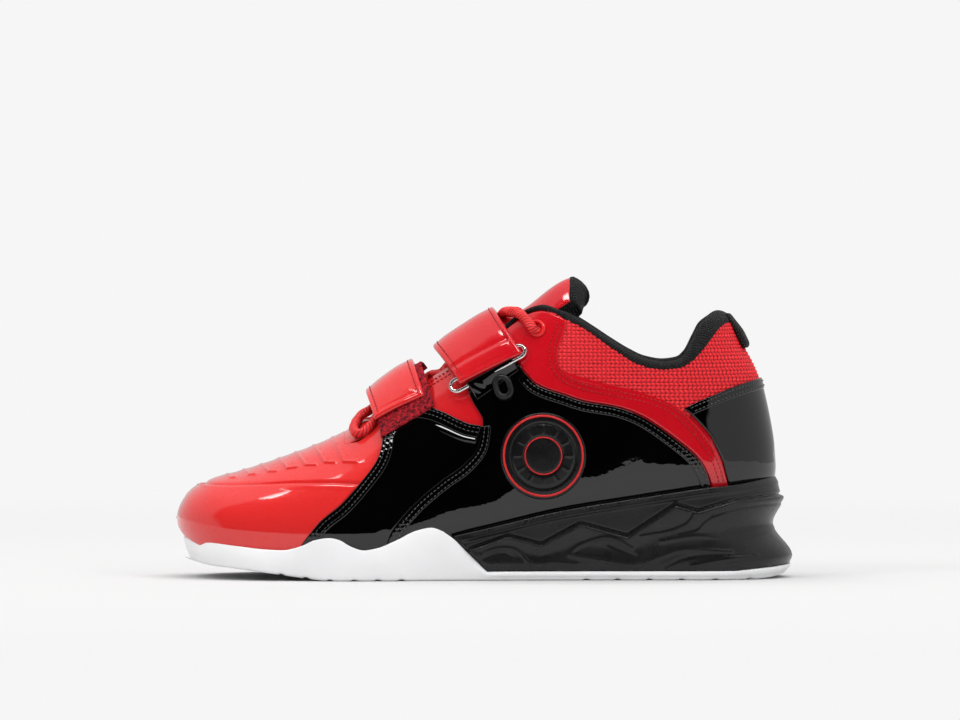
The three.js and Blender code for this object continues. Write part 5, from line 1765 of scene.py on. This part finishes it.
badge_disc("badge_disc", 0.01, BADGE_RADIUS, 1.5, 2.3, badge_rubber, ["badge"],
           42, badge_steps)
badge_disc("badge_ring_outer", 18.2, 19.6, 1.7, 2.85, badge_red)
badge_disc("badge_ring_inner", 8.3, 9.2, 1.7, 2.85, badge_red)

# %% [markdown]
# ## Stitches
# Each stitch is a small capsule of a few dozen faces. A row of them is one template, turned to the
# line's direction and the last's outward direction and copied to every place, all in one array.


# %% Rows of stitches
def capsule(sides=6, rings=5):
    """A short thread: circles whose radius follows a half circle along its length."""
    a = np.linspace(0, 2 * np.pi, sides, endpoint=False)[None]
    t = np.linspace(0, np.pi, rings)[:, None]
    along = -np.cos(t) * np.ones_like(a)
    r = np.sin(t) ** 0.5 * 0.9 + 0.1
    return np.stack([along, r * np.cos(a), r * np.sin(a)], -1).reshape(-1, 3), sides, rings


def stitch_row(points, normals, pitch, size):
    """Corner points of all stitches of one row: places an equal length apart along the line."""
    far = np.concatenate([[0], np.cumsum(np.linalg.norm(np.diff(points, axis=0), axis=1))])
    count = max(2, int(far[-1] / pitch))
    steps = (np.arange(count) + 0.5) * far[-1] / count
    at = np.stack([np.interp(steps, far, points[:, k]) for k in range(3)], -1)
    out = unit(np.stack([np.interp(steps, far, normals[:, k]) for k in range(3)], -1))
    ahead = np.stack([np.interp(steps + 0.4, far, points[:, k]) for k in range(3)], -1)
    behind = np.stack([np.interp(steps - 0.4, far, points[:, k]) for k in range(3)], -1)
    run = unit(ahead - behind)
    cross = unit(np.cross(out, run))
    shape, _, _ = capsule()
    long, wide, tall = size
    return (at[:, None] + run[:, None] * shape[None, :, :1] * long
            + cross[:, None] * shape[None, :, 1:2] * wide + out[:, None] * shape[None, :, 2:] * tall)


def stitches(name, rows, finish, pitch=2.1, size=(0.75, 0.3, 0.26)):
    """All rows of one thread as a single piece."""
    corners = np.concatenate([stitch_row(p, n, pitch, size) for p, n in rows])
    _, sides, rings = capsule()
    one = grid_faces(rings, sides, loop_columns=True)
    faces = (one[None] + (np.arange(len(corners)) * sides * rings)[:, None, None]).reshape(-1, 4)
    uvs = np.tile(np.stack(np.meshgrid(np.linspace(0, 1, rings), np.linspace(0, 1, sides),
                                       indexing="ij"), -1).reshape(-1, 2) * MM, (len(corners), 1))
    thing = make_object(name, corners.reshape(-1, 3), faces, uvs)
    print(name, "stitches:", len(corners))
    return dress(thing, finish)


def side_row(path, shift, side, away):
    """A line seen from the side, moved square to itself by shift, on the last."""
    run = unit(np.gradient(path, axis=0))
    moved = path + np.stack([-run[:, 1], run[:, 0]], -1) * shift
    at = on_last(moved[:, 0], moved[:, 1], side)
    return skin(*at, np.full(len(moved), away)), skin_normal(*at)


def strap_row(where, lift, start, end, edge_side, inset, drop):
    """A row along a long edge of a strap, inset from it."""
    u = np.linspace(start, end, 160)
    widths = np.linspace(0, 1, 12)
    uu, vv = np.meshgrid(u, widths, indexing="ij")
    wide = lengths(skin_point(*where(uu, vv)), 1)[:, -1]
    v = inset / wide if edge_side == 0 else 1 - inset / wide
    at = where(u, v)
    high = crown(lift, drop)(u, v, at[1], at[2]) + 0.05
    return skin(*at, high), skin_normal(*at)


black_rows, red_rows = [], []
for side in (-1, 1):
    for shift in (-1.5, -3.6):
        black_rows.append(side_row(panel_front, shift, side, LAYER + 0.7))
    for path in (mid_top[6:], seam[::-1][6:]):
        for shift in (-1.3, -3.3):
            black_rows.append(side_row(path, shift, side, LAYER + 0.7))
    for shift in (-1.7, -3.9):
        black_rows.append(side_row(band_low[8:], shift, side, LAYER + 0.6))
    for shift in (-1.6, -3.9):
        red_rows.append(side_row(band_high[2:], shift, side, LAYER + 0.12))
    throat_edge = throat_line[22:92]
    for shift in (-1.6, -3.4):
        red_rows.append(side_row(throat_edge, shift, side, 0.15))
u = np.linspace(0, 1, 220)               # the heel counter's two rows
for inset in (1.5, 3.7):
    x, side = round_heel(u, 98.0 + 0.8 * inset)
    at = (x, side, turn_at(x, counter_top(x + shear(x, 90)) - inset))
    black_rows.append((skin(*at, np.full(220, LAYER + 0.55)), skin_normal(*at)))
for where, lift, start, drop in ((lower_where, lower_lift, 0.02, LOWER_DROP),
                                 (upper_where, upper_lift, 0.01, UPPER_DROP)):
    for edge_side in (0, 1):
        red_rows.append(strap_row(where, lift, start, 0.97, edge_side, WELT, drop))
print("rows:", len(black_rows), len(red_rows))
stitches("black_stitches", black_rows, black_thread)
stitches("red_stitches", red_rows, red_thread)


# %% [markdown]
# ## Bindings
# The black panels' edges are covered by a folded strip that the stitches pucker. A strip is a slab
# between two shifts of the panel's own edge line, so it needs no shape of its own.

# %% Bindings on the black panels
def ribbon(name, path, near_shift, far_shift, side, low, high, finish, pucker=0.1):
    """A folded strip along a line: a slab between two shifts of the line, puckered by stitches."""
    run = unit(np.gradient(path, axis=0))
    square = np.stack([-run[:, 1], run[:, 0]], -1)
    t = np.linspace(0, 1, len(path))

    def where(u, v):
        shift = mix(near_shift, far_shift, v)
        spot = [np.interp(u, t, path[:, k]) + np.interp(u, t, square[:, k]) * shift for k in (0, 1)]
        return on_last(spot[0], spot[1], side)

    def relief(points, u, v, edge):
        far = u * np.linalg.norm(np.diff(path, axis=0), axis=1).sum()
        return pucker * np.sin(far * 2 * np.pi / 2.6) * np.sin(v * np.pi * 3)

    count = int(np.linalg.norm(np.diff(path, axis=0), axis=1).sum() / 0.8)
    return dress(slab(name, where, (count, 11), low, high, 0.5, relief), finish)


BINDINGS = [
    # name, edge line, its two shifts, height over the panel
    ("front", panel_front, 0.2, -5.0, 0.55), ("top", mid_top[4:], 0.2, -5.6, 0.5),
    ("seam", seam[::-1], 0.3, -4.4, 0.6), ("rear", band_low[6:], -0.4, -5.0, 0.45)]
for side, place in SIDES:
    for name, path, near_shift, far_shift, high in BINDINGS:
        ribbon(f"{name}_binding_{place}", path, near_shift, far_shift, side, LAYER - 0.3,
               LAYER + high, black_patent)

# %% [markdown]
# Below the mid panel's upper binding the leather is puffed to a roll, which draws the one long
# white highlight of that panel. Its flank is turned to the angle that shows the lamp.

# %% Rolled edge of the mid panel
RISE = math.radians(36.2)
MID_ROLL = [[-31, 76.2], [-25, 75], [-18, 72.2], [-11, 69.2], [-4.6, 67.8]]


def rolled_edge(name, path, side, wide=1.4):
    """The puffed roll below the mid panel's binding. Its upper flank is flat and turned up to
    RISE, whatever the last's own slope is there, and its lower flank is round."""
    place = on_last(path[:, 0], path[:, 1], side)
    out = skin_normal(*place)
    run = unit(np.gradient(skin_point(*place), axis=0))
    down = unit(np.cross(out, run)) * side
    down = down * np.where(down[:, 2:] > 0, -1, 1)
    reach = np.hypot(out[:, 2], down[:, 2])
    tilt = np.arcsin(math.sin(RISE) / reach) - np.arctan2(out[:, 2], -down[:, 2])
    high = wide * np.tan(tilt)
    across = np.array([0, 0.33, 0.66, 1, 1.25, 1.6, 2.0, 2.3, 2.0, 1.0])
    up = np.array([0, 0.33, 0.66, 1, 1.06, 0.9, 0.45, 0, -0.5, -0.6])
    start = skin(*place, np.full(len(path), LAYER - 0.1))
    rings = (start[:, None] + down[:, None] * (across * wide)[None, :, None]
             + out[:, None] * (up[None] * high[:, None])[..., None])
    return dress(ring_mesh(name, rings), black_patent)


for side, place in SIDES:
    rolled_edge(f"mid_panel_roll_{place}", soft(MID_ROLL, 60), side)


# %% Binding of the heel counter
def counter_band(u, v):
    """A band just under the counter's top line, round the heel."""
    inset = mix(5.0, 0.1, v)
    x, side = round_heel(u, 96.2 + 0.8 * inset)
    return x, side, turn_at(x, counter_top(x + shear(x, 90)) - inset)


dress(slab("counter_binding", counter_band, (140, 10), LAYER - 0.3, LAYER + 0.4, 0.5),
      black_patent)

# %% [markdown]
# Between the ribs the vamp is pricked with small air holes. Each is a tiny dark lens set in the
# skin, as no light comes back out of a hole.

# %% Air holes
HOLES = [[-71.0, 64.1], [-68.4, 61.9], [-66.5, 59.3], [-79.4, 62.0], [-77.5, 59.3], [-75.6, 57.0],
         [-87.6, 59.3], [-85.6, 57.4], [-94.2, 57.6], [-92.6, 55.6], [-101.6, 54.4], [-109.8, 52.4]]


def make_holes():
    """One capsule flattened along the surface's normal at each spot, on both sides."""
    rows_at = []
    for side in (-1, 1):
        spots = np.array(HOLES)
        at = on_last(spots[:, 0], spots[:, 1], side)
        base, normal = skin_point(*at), skin_normal(*at)
        rows_at.append((base + normal * (vamp_relief(base) + 0.03)[:, None], normal))
    points, normals = [np.concatenate(list(p)) for p in zip(*rows_at)]
    run = unit(np.cross(normals, [0.0, 0.3, 1.0]))
    shape, sides, rings = capsule()
    cross = np.cross(normals, run)
    corners = (points[:, None] + run[:, None] * shape[None, :, :1] * 0.42
               + cross[:, None] * shape[None, :, 1:2] * 0.42
               + normals[:, None] * shape[None, :, 2:] * 0.1)
    one = grid_faces(rings, sides, loop_columns=True)
    faces = (one[None] + (np.arange(len(corners)) * sides * rings)[:, None, None]).reshape(-1, 4)
    uvs = np.zeros((len(corners) * sides * rings, 2))
    return make_object("air_holes", corners.reshape(-1, 3), faces, uvs)


dress(make_holes(), hole_dark)

# %% [markdown]
# ## Stage and light
# The stage is a flat pale floor, with one soft lamp above the shoe and two small ones in front of
# it. Patent leather shows what stands round it, so the room that only glossy rays meet is white
# with a dark opening towards the camera, and a long lamp over the opening draws the highlights.


# %% Floor
PAPER, GLOSSY_ROOM, STRIP, EVEN_LIGHT = 0.9216, 0.60, 14.0, 0.62


def make_floor():
    """A flat floor so wide that its edge is level with the horizon from any side. Beyond the
    shoe's shadow its paper turns to an even glow of the background's own tone."""
    steps = np.linspace(-12, 12, 25)
    x, y = np.meshgrid(steps, steps, indexing="ij")
    points = np.stack([x, y, 0 * x], -1).reshape(-1, 3)
    thing = make_object("floor", points / MM - SHIFT, grid_faces(25, 25), points[:, :2])
    made, shader = material("floor_paper", (0.54, 0.54, 0.54), 0.9, Specular_IOR_Level=0.0)
    place = add(made, "ShaderNodeTexCoord")
    far = add(made, "ShaderNodeVectorMath", operation="LENGTH")
    share = add(made, "ShaderNodeMapRange", interpolation_type="SMOOTHSTEP", From_Min=0.35,
                From_Max=1.1)
    glow = add(made, "ShaderNodeEmission", Strength=PAPER)
    both = add(made, "ShaderNodeMixShader")
    link(made, place, "Object", far, 0)
    link(made, far, "Value", share, "Value")
    link(made, share, "Result", both, "Fac")
    link(made, shader, 0, both, 1)
    link(made, glow, 0, both, 2)
    link(made, both, 0, made.node_tree.nodes["Material Output"], "Surface")
    thing.data.materials.append(made)
    return thing


make_floor()


# %% Lamps
def lamp(name, place, aim_at, size, power):
    """A rectangular lamp turned to a point; no glossy surface shows it."""
    data = bpy.data.lights.new(name, "AREA")
    data.shape = "RECTANGLE"
    data.size, data.size_y = size
    data.energy = power
    thing = bpy.data.objects.new(name, data)
    bpy.context.scene.collection.objects.link(thing)
    thing.location = place
    thing.visible_glossy = False
    run = np.array(aim_at, float) - np.array(place, float)
    level = math.hypot(run[0], run[1])
    thing.rotation_euler = (math.atan2(level, -run[2]), 0,
                            math.atan2(run[1], run[0]) - math.pi / 2)
    return thing


lamp("top_soft", (0.0, 0.25, 2.4), (0, 0, 0), (3.0, 2.4), 75)
lamp("front_left", (-1.6, -1.6, 1.5), (0, 0, 0.08), (0.9, 0.9), 15)
lamp("front_right", (1.6, -1.5, 1.4), (0, 0, 0.08), (0.9, 0.9), 12)


# %% The room
def room():
    """What a ray meets beyond the stage. The camera sees plain paper; matt surfaces get an even
    light; glossy ones see a white room with a dark opening towards the camera and a lamp over it."""
    world = bpy.data.worlds.new("room")
    bpy.context.scene.world = world
    world.use_nodes = True
    nodes, links = world.node_tree.nodes, world.node_tree.links

    def sum_of(operation, first, second):
        """One sum of the Math node on two values, each a number or a socket."""
        made = nodes.new("ShaderNodeMath")
        made.operation = operation
        for socket, value in zip(made.inputs, (first, second)):
            if isinstance(value, float):
                socket.default_value = value
            else:
                links.new(value, socket)
        return made.outputs[0]

    def step(source, start, end):
        """1 up to start, 0 from end on."""
        made = nodes.new("ShaderNodeMapRange")
        limits = {"From Min": start, "From Max": end, "To Min": 1.0, "To Max": 0.0}
        for key, value in limits.items():
            made.inputs[key].default_value = value
        links.new(source, made.inputs["Value"])
        return made.outputs[0]

    axes = nodes.new("ShaderNodeSeparateXYZ")
    links.new(nodes.new("ShaderNodeTexCoord").outputs["Generated"], axes.inputs[0])
    aside = sum_of("ABSOLUTE", sum_of("ADD", axes.outputs["X"], -0.03), 0.0)
    left = sum_of("SUBTRACT", 1.0, step(axes.outputs["X"], -0.97, -0.90))
    wide = sum_of("MULTIPLY", step(axes.outputs["X"], 0.55, 0.59), left)
    ahead = step(axes.outputs["Y"], -0.15, -0.05)
    front = sum_of("MULTIPLY", wide, ahead)
    dark = sum_of("MULTIPLY", step(axes.outputs["Z"], 0.93, 0.97), front)
    strip = sum_of("SUBTRACT", step(axes.outputs["Z"], 0.952, 0.962),
                   step(axes.outputs["Z"], 0.925, 0.932))
    lit = sum_of("MULTIPLY", sum_of("MULTIPLY", strip, step(aside, 0.46, 0.52)), STRIP)
    walls = sum_of("MULTIPLY", sum_of("SUBTRACT", 1.0, dark), GLOSSY_ROOM)
    seen = sum_of("ADD", walls, sum_of("MULTIPLY", lit, ahead))
    rays = nodes.new("ShaderNodeLightPath")
    camera_ray, glossy_ray = rays.outputs["Is Camera Ray"], rays.outputs["Is Glossy Ray"]
    other = sum_of("SUBTRACT", sum_of("SUBTRACT", 1.0, camera_ray), glossy_ray)
    total = sum_of("ADD", sum_of("MULTIPLY", camera_ray, PAPER),
                   sum_of("ADD", sum_of("MULTIPLY", glossy_ray, seen),
                          sum_of("MULTIPLY", other, EVEN_LIGHT)))
    links.new(total, nodes["Background"].inputs["Strength"])
    nodes["Background"].inputs["Color"].default_value = (1, 1, 1, 1)


room()
bpy.context.scene.view_settings.view_transform = "Standard"
